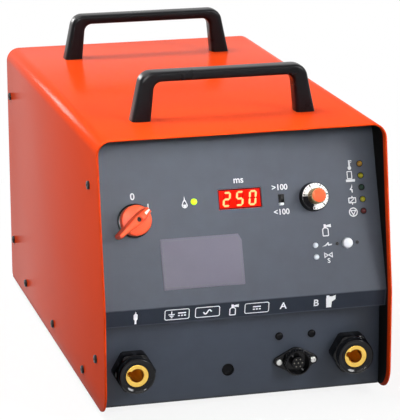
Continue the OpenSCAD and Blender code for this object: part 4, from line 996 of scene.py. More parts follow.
def lettering(text, height, centre):
    """A word as a thin slab, scaled to a height and centred at a place on its face."""
    curve = bpy.data.curves.new(text, "FONT")
    curve.body = text
    curve.resolution_u = LETTER_STEPS
    curve.extrude = LETTER_DEPTH
    curve.offset = LETTER_WEIGHT
    holder = bpy.data.objects.new(text, curve)
    scene.collection.objects.link(holder)
    view = bpy.context.evaluated_depsgraph_get()
    mesh = bpy.data.meshes.new_from_object(holder.evaluated_get(view))
    points = np.empty(len(mesh.vertices) * 3)
    mesh.vertices.foreach_get("co", points)
    points = points.reshape(-1, 3)
    faces = [list(polygon.vertices) for polygon in mesh.polygons]
    low, high = points.min(0), points.max(0)
    scale = height / (high[1] - low[1])
    flat = (points[:, :2] - (low[:2] + high[:2]) / 2) * scale + np.asarray(centre)
    bpy.data.objects.remove(holder)
    bpy.data.curves.remove(curve)
    bpy.data.meshes.remove(mesh)
    return np.column_stack([flat, np.where(points[:, 2] > 0, FILM, -SUNK)]), faces


def film(outline, top=FILM):
    """A thin slab over an outline."""
    return stack([at_height(outline, -SUNK), at_height(outline, top)])


def stroke(points, width, closed=False):
    """A line of one width: both sides lie half a width off the line, mitred at the corners."""
    points = np.asarray(points, float)
    if closed:
        outer, inner = inset(points, -width / 2), inset(points, width / 2)
        edges = ((outer, -SUNK), (outer, FILM), (inner, FILM), (inner, -SUNK), (outer, -SUNK))
        return stack([at_height(edge, z) for edge, z in edges], capped=False)
    step = np.diff(points, axis=0)
    step = step / np.linalg.norm(step, axis=1, keepdims=True)
    normal = np.stack([-step[:, 1], step[:, 0]], -1)
    first, last = np.vstack([normal[:1], normal]), np.vstack([normal, normal[-1:]])
    mitre = (first + last) / (1 + (first * last).sum(1, keepdims=True))
    return film(np.vstack([points - mitre * width / 2, (points + mitre * width / 2)[::-1]]))


def at(place, *shapes):
    """Shapes drawn round zero, moved to a place on the face or within their sign."""
    return [moved(shape, (*place[:2], 0)) for shape in shapes]


print("paint stands", FILM, "mm proud")

# %% [markdown]
# ## Symbols of the panel
# Each symbol is drawn round zero in millimetres, from a few strokes and filled outlines, and is set
# down where it is needed. They could be curves too, but an outline gives the film its edge at once.


# %% Symbols of the panel
def bottle():
    """A gas bottle with a regulator and its horn."""
    corners = [(-3.2, -5.4), (2.2, -5.4), (2.2, 0.8), (0.8, 2.2), (-1.8, 2.2), (-3.2, 0.8)]
    body = filleted(corners, [0.5, 0.5, 0.9, 0.3, 0.3, 0.9], 3)
    horn = [(-1.9, 2.6), (0.4, 2.6), (0.4, 3.2), (5.3, 2.4), (5.3, 5.6), (0.4, 4.6), (0, 5.6), (-1.9, 5.6)]
    return [stroke(body, 0.95, True), film(horn)]


BOLT = np.array([
    (-5, -1.9), (-1.4, -0.2), (0.9, 2.0), (1.9, 1.9), (1.7, 0.3), (5.2, 0.2), (4.4, -0.9), (1.0, -1.3),
    (0.5, 0.2), (-0.9, -1.3)])
BOLT_UPRIGHT = np.array([[0.1, -0.82], [-0.82, 0]])


def lightning():
    """A jagged arc that lies: two wedges joined by a slanting stroke."""
    return [film(BOLT)]


def standing_arc():
    """The same arc mirrored upright and made a little smaller."""
    return [film(BOLT @ BOLT_UPRIGHT)]


def valve():
    """Two triangles point to point."""
    left, right = [(-3.7, -2.0), (-0.3, 0), (-3.7, 2.0)], [(3.7, 2.0), (0.3, 0), (3.7, -2.0)]
    return [stroke(left, 0.9, True), stroke(right, 0.9, True)]


def plug_sign():
    """A mains plug standing on its round back, with a spike for its pins."""
    back = circle(2.5, 24, (0, -2.6), np.pi * 0.97)[:13]
    body = np.vstack([[(0.9, 1.4), (-0.9, 1.4)], back])
    return [
        film([(0, 6.0), (-0.75, 1.4), (0.75, 1.4)]), stroke(body, 0.8, True),
        stroke([(-2.2, -2.5), (2.2, -2.5)], 0.8), film(circle(1.3, 20, (0, -3.5)))]


def thermometer():
    """A bulb with a thick stem and two short marks beside it."""
    return [
        film(circle(1.8, 24, (0, -3.0))), stroke([(0, -3), (0, 4.4)], 1.7),
        stroke([(1.2, 4.2), (2.6, 3.4)], 0.9), stroke([(1.2, 2.2), (2.2, 2.2)], 0.6)]


def stud_on_plate():
    """An open box, the stud, over a filled bar, the plate."""
    return [
        stroke(box_line(4.4, 6.8, 0.3) + [-0.6, 1.6], 0.85, True), film(box_line(9.0, 2.4, 0.3) + [0, -3.7])]


def coil_box():
    """A box with a slanting line and a lead above and below."""
    return [
        stroke(box_line(6.8, 4.6, 0.3), 0.95, True), stroke([(-2, -1.5), (2, 1.5)], 0.8),
        stroke([(0, 2.4), (0, 4.1)], 0.9), stroke([(0, -2.4), (0, -4.1)], 0.9)]


def ring_sign():
    """A ring round a triangle that points down."""
    return [stroke(circle(3.9, 36), 1.0, True), stroke([(0, -2.7), (2.4, 1.5), (-2.4, 1.5)], 0.9, True)]


print("the arc sign is", np.ptp(BOLT[:, 0]), "mm long")

# %% [markdown]
# ## Symbols of the strip
# The strip has plain electrical signs: a cable plug, a welding gun, earth, direct current and a wave.
# Some of them stand in a rounded frame, which is a closed stroke. The gas bottle is used again.


# %% Symbols of the strip
def clamp_sign():
    """A cable plug that points up."""
    right = np.array([(0.9, -6.6), (0.9, -3.0), (1.9, -1.4), (1.9, 3.0), (0.7, 4.2)])
    return [film(np.vstack([[(0, 6.6)], right[::-1] * [-1, 1], right]))]


def gun_sign():
    """A welding gun seen from the side: an upright grip with its nozzle to the right."""
    return [film([
        (-4.4, 6.3), (-4.6, 2.6), (-3.9, -6.4), (1.0, -6.4), (1.3, -0.4), (4.7, 1.8), (4.7, 6.3),
        (1.4, 5.2), (-1.4, 5.2), (-1.8, 6.3)])]


def wave_sign():
    """One full wave."""
    turn = np.linspace(-1, 1, 25)
    return [stroke(np.column_stack([3.9 * turn, 2.0 * np.sin(turn * np.pi)]), 1.3)]


def direct_current_sign():
    """A line over three dashes."""
    dashes = [stroke([(x - 0.95, -1.3), (x + 0.95, -1.3)], 1.2) for x in (-2.9, 0, 2.9)]
    return [stroke([(-3.85, 1.3), (3.85, 1.3)], 1.2), *dashes]


def earth_sign():
    """A lead on three bars, each shorter than the last."""
    bars = [stroke([(-w, y), (w, y)], 0.95) for w, y in ((3.0, 0.2), (1.9, -1.4), (0.8, -3.0))]
    return [stroke([(0, 3.5), (0, 0.2)], 0.95), *bars]


def boxed(*shapes):
    """Shapes in a rounded outline."""
    return [stroke(box_line(23.3, 10.2, 1.6), 0.75, True), *shapes]


print("a framed sign is", round(np.ptp(boxed()[0][0][:, 0]), 2), "mm wide")

# %% [markdown]
# ## Signs of the control panel
# The switch has 0 and I, the range switch has its two ranges, and the display has its unit. Each
# lamp has a small symbol beside it. All of them are set down beside the part that they belong to, so
# they follow it, and they are one piece because they are printed in one go.

# %% Panel signs
LAMP_ABOVE, LAMP_APART = 0.5, 7


def lamp_row(*nodes):
    """The places of all the lamps of some nodes, from the top down."""
    found = [place for node in nodes for place in panel.places(node, LAMP_ABOVE, LAMP_APART)]
    return sorted(found, key=lambda place: -place[1])


lamp_places = lamp_row("amber_lamp", "yellow_lamps", "green_lamp", "red_lamp")
upper_mode, lower_mode = lamp_row("mode_lamps")
display_middle, range_middle = panel.middle("display_module"), panel.middle("range_switch_housing")

WORDS = [
    ("0", 6.6, switch_middle, (0.2, 22.8)), ("I", 6.6, switch_middle, (14.5, 11.8)),
    ("ms", 4.4, display_middle, (0, 16.8)), (">100", 5.6, range_middle, (-0.9, 12.0)),
    ("<100", 5.6, range_middle, (-0.9, -11.3)), ("S", 4.6, lower_mode, (12.0, -4.2))]
SYMBOLS = [
    (plug_sign, panel.middle("power_lamp"), (-9.1, 0)), (bottle, upper_mode, (11.6, 13.6)),
    (lightning, upper_mode, (11.4, 0)), (valve, lower_mode, (12.0, 1.0))]
status_signs = (thermometer, stud_on_plate, standing_arc, coil_box, ring_sign)
SYMBOLS += [(sign, place, (-10.2, -0.5)) for place, sign in zip(lamp_places, status_signs)]

panel_signs = [lettering(text, height, place[:2] + by) for text, height, place, by in WORDS]
for sign, place, by in SYMBOLS:
    panel_signs += at(place[:2] + by, *sign())
piece("panel_signs", panel_signs, panel, "case", "panel_print")
print("panel signs:", len(panel_signs), "shapes")

# %% [markdown]
# ## Signs of the label strip
# The strip under the panel names the sockets below it. It has its own lean, so it gets its own
# face, whose two edges are read from the folded sheet. A darker band under the signs is painted
# shade, because the strip faces a little downwards.

# %% Strip signs
BAND_HALF, BAND_EDGE, BAND_SKIN = 136.5, 0.9, 0.02
LETTER_HEIGHT = 7.0
lip_z = panel_points[:, 2].min()
lip_y = panel_points[panel_points[:, 2] < lip_z + 0.01 * MM][:, 1].min()
strip_up = np.array([0, panel_edge[1] - lip_y, panel_edge[2] - lip_z])
strip_length = np.linalg.norm(strip_up)
strip = Face((0, lip_y, lip_z), RIGHT, strip_up / strip_length)
strip_height = strip_length / MM
mid = strip_height / 2
connector_middle, gas_middle = front.middle("control_connector_shell"), front.middle("gas_port_plug")
clamp_x, gun_x = front.middle("left_weld_socket")[0], front.middle("right_weld_socket")[0]
gas_x, plug_x = gas_middle[0], connector_middle[0]

earth_and_direct = boxed(*at((-5.2, 0), *earth_sign()), *at((4.8, 0), *direct_current_sign()))
strip_signs = [
    *at((clamp_x - 0.2, mid), *clamp_sign()),
    *at((gas_x - 54.3, mid), *earth_and_direct),
    *at((gas_x - 24.9, mid), *boxed(*wave_sign())),
    *at((gas_x, mid), *bottle()),
    *at((gas_x + 23.1, mid), *boxed(*direct_current_sign())),
    *at((gun_x - 24.8, mid + 0.4), *gun_sign()),
    lettering("A", LETTER_HEIGHT, (plug_x - 17.7, mid)),
    lettering("B", LETTER_HEIGHT, (plug_x + 14.9, mid)),
]
piece("strip_signs", strip_signs, strip, "case", "print_white")
# The darker band is painted shade, because the strip faces a little downwards.
band_low, band_high = BAND_EDGE, strip_height - BAND_EDGE
band_line = [(-BAND_HALF, band_low), (BAND_HALF, band_low), (BAND_HALF, band_high), (-BAND_HALF, band_high)]
piece("strip_shade_band", [film(band_line, BAND_SKIN)], strip, "case", "strip_painted_shade")
print("strip signs:", len(strip_signs), "shapes")

# %% [markdown]
# ## Marks of the time dial
# The dial turns with its knob, so its marks are a piece that rides on the knob. The long marks have
# numbers, set round the ring with their feet towards the middle. The ring is black where the scale
# has no marks; that black sector is also painted shadow, laid where the barrel's shadow falls.

# %% Dial marks
DIAL_STEPS, DIAL_SPAN, DIAL_MIDDLE = 20, 270, 35
LONG_EVERY, LONG_MARK, SHORT_MARK = 4, (2.6, 1.3), (1.6, 0.5)
MARK_MARGIN, NUMBER_HEIGHT, NUMBER_DEPTH = 0.3, 2.2, 4.2
GAP_EDGE, GAP_SKIN, GAP_STEPS = 6, 0.04, 24

dial_marks = []
for i in range(DIAL_STEPS + 1):
    turn = math.radians(DIAL_MIDDLE + DIAL_SPAN / 2 - i * DIAL_SPAN / DIAL_STEPS)
    way = np.array([math.cos(turn), math.sin(turn)])
    is_long = i % LONG_EVERY == 0
    reach, width = LONG_MARK if is_long else SHORT_MARK
    dial_marks.append(stroke([way * (dial_r - reach), way * (dial_r - MARK_MARGIN)], width))
    if is_long:
        points, faces = lettering(str(i // 2), NUMBER_HEIGHT, (0, 0))
        upright_rows = np.array([(way[1], -way[0]), way])
        spun = points[:, :2] @ upright_rows + way * (dial_r - NUMBER_DEPTH)
        dial_marks.append((np.column_stack([spun, points[:, 2]]), faces))
dial_marks = [moved(mark, (0, 0, dial_top)) for mark in dial_marks]
piece("time_dial_marks", dial_marks, time_face, "time_knob", "print_black")

# The black sector where the scale has no marks, which is also painted shadow of the barrel.
gap_from = DIAL_MIDDLE + DIAL_SPAN / 2 + GAP_EDGE
gap_to = DIAL_MIDDLE + 360 - DIAL_SPAN / 2 - GAP_EDGE
gap_turn = np.radians(np.linspace(gap_from, gap_to, GAP_STEPS))[:, None]
gap_in, gap_out, gap_top = barrel_r + 0.12, dial_r + GAP_SKIN, dial_top + GAP_SKIN
gap_r = np.array([gap_in, gap_out, gap_out, dial_r - 0.25, gap_in])
gap_z = np.array([dial_foot + GAP_SKIN, dial_foot + GAP_SKIN, dial_top - 0.25, gap_top, gap_top])
gap_grid = [gap_r * np.cos(gap_turn), gap_r * np.sin(gap_turn), np.tile(gap_z, (GAP_STEPS, 1))]
gap = stack(np.stack(gap_grid, -1))
piece("time_dial_gap_and_shadow", [gap], time_face, "time_knob", "gap_and_shadow_black")
print("dial marks:", len(dial_marks))

# %% [markdown]
# ## Lamps
# A panel lamp is a small dome with a flange behind the sheet and two legs. The dome is a quarter of
# an ellipse carried round its axis, on a short barrel. The five status lamps stand in black bezels.

# %% Lamps
LENS_FROM, DOME_SHARE = -1.9, 0.85
LAMP_BACK, FLANGE_BACK, FLANGE_REACH = -3, -2, 0.6
LEG_SIZE, LEG_APART = 0.6, 1.27
BEZEL_IN, BEZEL_OUT, BEZEL_H = 2.52, 3.1, 0.9


def lamp_lens(radius, top, back):
    """A barrel with a domed end: a quarter ellipse up to the top, a flange behind the panel, two legs."""
    turn = np.linspace(0, np.pi / 2, 9)
    dome = np.column_stack([radius * np.cos(turn), top - radius * DOME_SHARE * (1 - np.sin(turn))])
    flange_r = radius + FLANGE_REACH
    behind = [(0, LAMP_BACK), (flange_r, LAMP_BACK), (flange_r, FLANGE_BACK), (radius, FLANGE_BACK)]
    leg = moulded(box_line(LEG_SIZE, LEG_SIZE, 0.1), back, LAMP_BACK + 0.1, 0.05, 1)
    return [turned([*behind, *dome], 32), moved(leg, (-LEG_APART, 0, 0)), moved(leg, (LEG_APART, 0, 0))]


def lamps(node):
    """A lens at every place where the node has a lamp, as wide and as high as the solid ones."""
    low, high = panel.span(node)
    local = panel.local(node)
    proud = local[local[:, 2] > LENS_FROM]
    first = proud[np.linalg.norm(proud - proud[0], axis=1) < LAMP_APART]
    one = lamp_lens(np.ptp(first[:, 0]) / 2, high[2], low[2])
    places = groups(proud, LAMP_APART)
    stand_in(node, [moved(part, place) for place in places for part in one], panel, sharp=50)
    return len(places)


LAMP_NODES = ("power_lamp", "amber_lamp", "yellow_lamps", "green_lamp", "red_lamp", "mode_lamps")
print("lamps:", sum(lamps(node) for node in LAMP_NODES))
bezel = ringed([
    (BEZEL_IN, 0), (BEZEL_OUT, 0), (BEZEL_OUT, BEZEL_H - 0.4), (BEZEL_OUT - 0.15, BEZEL_H - 0.1),
    (BEZEL_OUT - 0.3, BEZEL_H), (BEZEL_IN, BEZEL_H)], 40)
bezels = [moved(bezel, place) for place in lamp_places]
piece("lamp_bezels", bezels, panel, "case", "shell_black")

# %% [markdown]
# ## Mode button
# The button is a larger, flatter dome on a stem that reaches the switch on the board. The cap, the
# flange that keeps it in and the stem move as one, so one profile is turned for all three.

# %% Mode button
BUTTON_RADIUS, BUTTON_CROWN, CROWN_DROP = 4.8, 0.9, 0.25
STEM_RADIUS, RETAINER, RETAINER_BACK, RETAINER_FRONT = 2, 6.4, -4.2, -3
button_low, button_high = panel.span("mode_button")
button_back, button_top = button_low[2], button_high[2]
button_profile = [
    (0, button_back), (STEM_RADIUS, button_back), (STEM_RADIUS, RETAINER_BACK), (RETAINER, RETAINER_BACK),
    (RETAINER, RETAINER_FRONT), (BUTTON_RADIUS, RETAINER_FRONT),
    *rounded_edge(BUTTON_RADIUS, button_top - CROWN_DROP, BUTTON_CROWN, 6),
    (BUTTON_RADIUS * 0.5, button_top - 0.06), (0, button_top)]
button = moved(turned(button_profile), panel.middle("mode_button"))
stand_in("mode_button", [button], panel, "mode_button", sharp=45)
button_screw = screw_head(1.7, 0.7, 0.8, 0.45, 1.1, 5)
button_screws = [moved(button_screw, place) for place in panel.places("mode_button_screws", 0.5, 5)]
stand_in("mode_button_screws", button_screws, panel)
print("mode button stands", round(button_top, 1), "mm proud, between", len(button_screws), "screws")

# %% [markdown]
# ## Display
# The display is a red filter window with its digits behind it. The lit bars stay as the solid model
# has them; the unlit bars of each figure are added, as they show faintly on a real display, and a
# dark line of painted shade runs round the window, as in a recess. These are thin films, so the
# window itself stays a plain box.

# %% Display
EDGE_W = 1.1
DIGIT_W, DIGIT_H, BAR_W, BAR_GAP, DIGIT_PITCH, SLANT = 7.6, 14.2, 1.9, 0.25, 12.6, math.radians(8)
BARS = {"top": (0, 1, 0), "upper_right": (1, 0.5, 1), "lower_right": (1, -0.5, 1), "bottom": (0, -1, 0),
        "lower_left": (-1, -0.5, 1), "upper_left": (-1, 0.5, 1), "middle": (0, 0, 0)}
DARK_BARS = [("upper_left", "lower_right"), ("upper_right", "lower_left"), ("middle",)]

window_low, window_high = panel.span("display_module")
window_w, window_h = (window_high - window_low)[:2]
window = moulded(box_line(window_w, window_h, 0.8), window_low[2], window_high[2], 0.3, 3)
stand_in("display_module", [moved(window, display_middle)], panel)
window_top = display_middle + [0, 0, window_high[2]]


def digit_bar(bar, digit):
    """A long hexagon along or across a digit, leaning with it."""
    x, y, upright = BARS[bar]
    half_w, half_h = (DIGIT_W - BAR_W) / 2, (DIGIT_H - BAR_W) / 2
    length = (half_h if upright else 2 * half_w) - BAR_GAP
    end, shoulder, side = length / 2, length / 2 - BAR_W / 2, BAR_W / 2
    outline = np.array([
        (-end, 0), (-shoulder, -side), (shoulder, -side), (end, 0), (shoulder, side), (-shoulder, side)])
    if upright:
        outline = outline[:, ::-1] * [-1, 1]
    outline = outline + [x * half_w, y * half_h]
    outline[:, 0] += outline[:, 1] * math.tan(SLANT) + (digit - 1) * DIGIT_PITCH
    return film(outline)


dark_bars = [digit_bar(bar, digit) for digit, row in enumerate(DARK_BARS) for bar in row]
dark_bars = [moved(bar, window_top) for bar in dark_bars]
piece("display_dark_bars", dark_bars, panel, "case", "display_dark")
# A dark line of painted shade round the window's edge.
window_shade_line = moved(stroke(box_line(window_w - EDGE_W, window_h - EDGE_W, 0.3), EDGE_W, True), window_top)
piece("display_edge_shade", [window_shade_line], panel, "case", "display_edge_shade")
print("display window", round(window_w, 1), "by", round(window_h, 1), "mm")

# %% [markdown]
# ## Range switch
# A black carrier slides in a slot and bears a white nub for the finger. Both are moulded boxes. They
# are two pieces, because their finishes differ, and both ride on the slider's body.

# %% Range switch
NUB_W, NUB_L, NUB_SUNK, CARRIER_H = 4.0, 2.4, 0.5, 3.0
slider_low, slider_high = panel.span("range_switch_slider")
slider_w, slider_l = (slider_high - slider_low)[:2]
slider_middle = panel.middle("range_switch_slider")
carrier_top = slider_low[2] + CARRIER_H
carrier = moulded(box_line(slider_w, slider_l, 0.4), slider_low[2], carrier_top, 0.3, 2)
carrier = moved(carrier, slider_middle)
piece("range_slider_carrier", [carrier], panel, "range_slider", "black_plastic")
nub = moulded(box_line(NUB_W, NUB_L, 0.5), carrier_top - NUB_SUNK, slider_high[2], 0.4, 3)
nub = moved(nub, (slider_middle[0], slider_low[1] + NUB_L / 2, 0))
stand_in("range_switch_slider", [nub], panel, "range_slider")
print("range slider", round(slider_w, 1), "by", round(slider_l, 1), "mm")

# %% [markdown]
# ## Name plate
# A thin plate with one corner cut off stands on the panel. It is left bare, with a rolled edge and a
# fine frame line that gives the plain field some depth.

# %% Name plate
PLATE_CUT_W, PLATE_CUT_H, PLATE_ROLL = 3.0, 6.0, 0.35
FRAME_MARGIN, FRAME_WIDTH = 2.2, 0.4
plate_low, plate_high = panel.span("name_plate")
plate_middle = panel.middle("name_plate")
plate_w, plate_h = ((plate_high - plate_low) / 2)[:2]


def plate_line(margin, corner):
    """The plate's outline drawn in by a margin, with its upper right corner cut off."""
    w, h = plate_w - margin, plate_h - margin
    corners = [(-w, -h), (w, -h), (w, h - PLATE_CUT_H), (w - PLATE_CUT_W, h), (-w, h)]
    return filleted(corners, [corner] * len(corners), 4)


plate = moved(moulded(plate_line(0, 0.8), 0, plate_high[2], PLATE_ROLL, 3), plate_middle)
stand_in("name_plate", [plate], panel)
frame_line = stroke(plate_line(FRAME_MARGIN, 0.6), FRAME_WIDTH, True)
frame_line = moved(frame_line, plate_middle + [0, 0, plate_high[2]])
piece("name_plate_frame", [frame_line], panel, "case", "plate_frame")
print("name plate", round(plate_w * 2, 1), "by", round(plate_h * 2, 1), "mm")

# %% [markdown]
# ## Weld sockets
# Each socket is a black insulating body, a hexagon at the panel and a round collar in front, with a
# thin rim and a shallow cone inside it. In it sits a brass contact. Its bore has a keyway for the
# plug's lug, and both have a distance from the axis at every angle, so the contact is again a stack
# of rings. A thin darker skin lines the bore as painted shade, where the bore lies in shadow.

# %% Weld sockets
FINE_ROUND = around(96)
HEX_CORNER, HEX_CUT, HEX_TOP, SPIGOT, COLLAR, RIM_BEVEL = 21, 0.965, 14, 14, 17.5, 1.8
CONE_FOOT, CONE_DEPTH, CONTACT_GAP = 13, 1.6, 0.15
CONTACT, BORE, KEY_REACH, KEY_ROUND, KEY_TURN = 11, 6.5, 7, 2.5, math.radians(160)
KEY_DEPTH, BORE_DEPTH, CONTACT_BACK, STUD = 12, 31, -20, 5
# How far the bore's skin of painted shade stands inside the bore.
BORE_SHADE_LIFT = 0.04


def soft_hexagon(corner, share):
    """A hexagon's radius at every fine angle, with its corners turned off at a share of their reach."""
    return np.minimum(polygon_radius(FINE_ROUND, 6, corner), corner * share)


def socket_body(low, high):
    """Rings from the spigot behind the panel, over hexagon, collar and rim, and back down the inside."""
    face, hexagon, hole = high - CONE_DEPTH, soft_hexagon(HEX_CORNER, HEX_CUT), CONTACT + CONTACT_GAP
    return lathe([
        (SPIGOT, low), (SPIGOT, 0), (hexagon - 0.4, 0), (hexagon, 0.5), (hexagon, HEX_TOP - 1.5),
        (hexagon - 0.7, HEX_TOP - 0.3), (COLLAR + 0.6, HEX_TOP), (COLLAR, HEX_TOP + 0.6),
        (COLLAR, high - RIM_BEVEL), (COLLAR - 0.2, high - RIM_BEVEL * 0.5), (COLLAR - 0.55, high - 0.35),
        (COLLAR - 1.1, high), (COLLAR - 1.3, high), (CONE_FOOT + 1.8, high - 0.7), (CONE_FOOT + 0.4, face),
        (CONE_FOOT, face), (hole, face), (hole, low), (SPIGOT, low)], FINE_ROUND)


def contact_body(low, face):
    """The contact, rings from its stud over the bevelled face into the keyed bore, and the bore's skin of painted
    shade.
    """
    off = (FINE_ROUND - KEY_TURN + np.pi) % (2 * np.pi) - np.pi
    half_chord = np.sqrt(np.clip(KEY_ROUND**2 - (KEY_REACH * np.sin(off))**2, 0, None))
    key = np.where(np.abs(off) < math.asin(KEY_ROUND / KEY_REACH), KEY_REACH * np.cos(off) + half_chord, 0)
    keyed = np.maximum(BORE, key)
    mouth, step, end = face - 0.7, face - KEY_DEPTH, face - BORE_DEPTH
    bore = [(keyed, mouth), (keyed, step), (BORE, step), (BORE, end), (0, end - 1)]
    outside = [
        (0, low), (STUD, low), (STUD, CONTACT_BACK), (CONTACT, CONTACT_BACK), (CONTACT, face - 0.8),
        (CONTACT - 0.3, face - 0.2), (CONTACT - 0.8, face), (keyed + 0.7, face)]
    skin = [(np.maximum(r - BORE_SHADE_LIFT, 0), min(z + BORE_SHADE_LIFT, mouth)) for r, z in bore]
    return lathe(outside + bore, FINE_ROUND), lathe([bore[0], *skin], FINE_ROUND)


for side in ("left", "right"):
    shell_node, contact_node = side + "_weld_socket", side + "_weld_contact"
    body_low, body_high = front.span(shell_node)
    contact_low, contact_high = front.span(contact_node)
    place = front.middle(shell_node)
    contact, skin = contact_body(contact_low[2], contact_high[2])
    socket = moved(socket_body(body_low[2], body_high[2]), place)
    stand_in(shell_node, [socket], front, look="shell_black", sharp=30)
    stand_in(contact_node, [moved(contact, place)], front, sharp=30)
    piece(side + "_bore_shade_skin", [moved(skin, place)], front, "case", "contact_bore_shade", sharp=30)
print("weld sockets stand", round(body_high[2], 1), "mm proud of their panel")

# %% [markdown]
# ## Control connector
# A diamond flange carries a short thin-walled barrel. Ribs for the fingers run along it, made like
# the flutes of the time knob. The flange has an outline and is moulded; the barrel is turned.

# %% Connector shell
FLANGE_T, BARREL, CAVITY, SHELL_BACK, SHELL_WALL = 3, 13, 11, 10.5, 3
NECK, NECK_TOP = BARREL - 1, FLANGE_T + 2
RIBS, RIB_DEPTH = 28, 0.7
shell_low, shell_high = front.span("control_connector_shell")
shell_foot, shell_rim, shell_well = shell_low[2], shell_high[2], SHELL_BACK - SHELL_WALL
flange_line = filleted([(-27.5, 0), (0, -14.5), (27.5, 0), (0, 14.5)], [5, 11, 5, 11], 12)
flange = moulded(flange_line, 0, FLANGE_T, 0.7, 3)
rib_angle = around(RIBS * 8)
ribbed = fluted(BARREL, rib_angle, RIBS, RIB_DEPTH, 2)
shell_barrel = lathe([
    (SHELL_BACK, shell_foot), (SHELL_BACK, 0.2), (NECK, FLANGE_T - 0.5), (NECK, NECK_TOP - 0.1),
    (ribbed - 0.3, NECK_TOP), (ribbed, NECK_TOP + 0.4), (ribbed, shell_rim - 1.7),
    (ribbed - 0.35, shell_rim - 1.2), (BARREL - 0.8, shell_rim - 0.9), (BARREL - 0.9, shell_rim - 0.3),
    (BARREL - 1.2, shell_rim), (CAVITY + 0.3, shell_rim), (CAVITY, shell_rim - 0.3), (CAVITY, 1),
    (shell_well, 1), (shell_well, shell_foot), (SHELL_BACK, shell_foot)], rib_angle)
shell_parts = [moved(part, connector_middle) for part in (flange, shell_barrel)]
stand_in("control_connector_shell", shell_parts, front, look="shell_black")
print("connector reaches", round(shell_rim, 1), "mm")

# %% [markdown]
# ## Insert of the connector
# The insert is a round block of plastic with a sleeve round each of its seven pins. One sleeve and
# one pin are turned, and copies of them are set down in the middle and round a circle.

# %% Connector insert
INSERT_R, INSERT_BASE, INSERT_GAP, BOSS_SUNK = 6.4, 2.5, 0.2, 0.5
PIN_R, PIN_RING, PIN_COUNT, PIN_SHARE = 0.9, 4, 6, 0.8
insert_low, insert_high = front.span("control_connector_insert")
insert_foot, insert_top = insert_low[2], insert_high[2]
base_r, base_top, boss_top = CAVITY - INSERT_GAP, insert_foot + INSERT_BASE, insert_top - BOSS_SUNK
boss = turned([
    (0, insert_foot), (base_r, insert_foot), (base_r, base_top), (INSERT_R, base_top),
    (INSERT_R, insert_top - 0.4), (INSERT_R - 0.3, insert_top), (INSERT_R - 0.8, insert_top),
    (INSERT_R - 0.9, boss_top), (0, boss_top)], 64)
sleeve = ringed([
    (PIN_R, boss_top - 0.1), (PIN_R + 0.45, boss_top - 0.1), (PIN_R + 0.4, insert_top - 0.1),
    (PIN_R + 0.3, insert_top), (PIN_R + 0.1, insert_top), (PIN_R, insert_top - 0.1)], 24)
pin_r = PIN_R * PIN_SHARE
pin = turned([(0, boss_top), (pin_r, boss_top), (pin_r, boss_top + 0.12), (0, boss_top + 0.15)], 20)
pin_places = connector_middle + at_height(np.vstack([[(0, 0)], circle(PIN_RING, PIN_COUNT)]), 0)
sleeves = [moved(sleeve, place) for place in pin_places]
stand_in("control_connector_insert", [moved(boss, connector_middle), *sleeves], front, look="shell_black")
pins = [moved(pin, place) for place in pin_places]
piece("control_connector_pins", pins, front, "case", "dark_pin")
print("connector pins:", len(pins))

# %% [markdown]
# ## Flange screws and plugs
# Two bright screws hold the flange. Domed plugs close the two small holes above it, and a round plug
# with a sunk face closes the gas port. All of them are turned profiles.

# %% Flange screws and plugs
SMALL_STEM, SMALL_HEAD, SMALL_RIM = 2.6, 3.9, 0.5
GAS_RADIUS, GAS_WELL, GAS_DEPTH = 6, 4.6, 2.4
flange_screw = moved(screw_head(2.9, 1.8, 1.4, 1.0, 1.5, 9), (0, 0, FLANGE_T))
flange_places = front.places("control_connector_screws", FLANGE_T + 1, 8)
stand_in("control_connector_screws", [moved(flange_screw, place) for place in flange_places], front)

small_low, small_high = front.span("small_plugs")
cap_turn = np.linspace(0, np.pi / 2, 9)
small_dome = np.column_stack([
    SMALL_HEAD * np.cos(cap_turn), SMALL_RIM + (small_high[2] - SMALL_RIM) * np.sin(cap_turn)])
small_plug = turned([
    (0, small_low[2]), (SMALL_STEM - 0.2, small_low[2]), (SMALL_STEM, small_low[2] + 0.4), (SMALL_STEM, 0),
    (SMALL_HEAD, 0), *small_dome], 40)
small_plugs = [moved(small_plug, place) for place in front.places("small_plugs", 0.1, 10)]
stand_in("small_plugs", small_plugs, front, look="plug_black")

gas_low, gas_high = front.span("gas_port_plug")
gas_back, gas_top = gas_low[2], gas_high[2]
gas_plug = turned([
    (0, gas_back), (GAS_RADIUS, gas_back), (GAS_RADIUS, gas_top - 0.2), (GAS_RADIUS - 0.2, gas_top),
    (GAS_WELL + 0.3, gas_top), (GAS_WELL, gas_top - 0.4), (GAS_WELL, gas_top - GAS_DEPTH + 0.2),
    (GAS_WELL - 0.4, gas_top - GAS_DEPTH), (0, gas_top - GAS_DEPTH)])
stand_in("gas_port_plug", [moved(gas_plug, gas_middle)], front, look="plug_black")
print("plugs:", len(small_plugs), "small ones and one in the gas port")

# %% [markdown]
# ## Fan guard
# The guard is bent from wire: four rings welded on a cross, with a flat lug at each screw. A ring is
# the wire's circle carried round a larger one, and a rod is a row of circles with rounded ends. It
# sits in the recess of the rear panel.

# %% Fan guard
WIRE, WIRE_SIDES = 1.3, 12
LUG_HOLE, LUG_R, LUG_T, LUG_OVERLAP = 2.25, 5, 1.6, 3.9
RING_SHARES = (0.28, 0.52, 0.76, 1.0)
ROD_END = np.array([(0, 0), (0.25, 0.7), (1, 1)]) * WIRE
guard_top = rear.span("fan_guard")[1][2]
guard_middle = rear.middle("fan_guard")
screw_top = rear.span("fan_screws")[1][2]
fan_screw_places = rear.places("fan_screws", screw_top - 0.05, 9)
hole_reach = abs(fan_screw_places[0][0] - guard_middle[0])


def wire_ring(radius, height):
    """A torus: the wire's circle carried round a larger one."""
    return ringed(circle(WIRE, WIRE_SIDES, (radius, height)), 96)


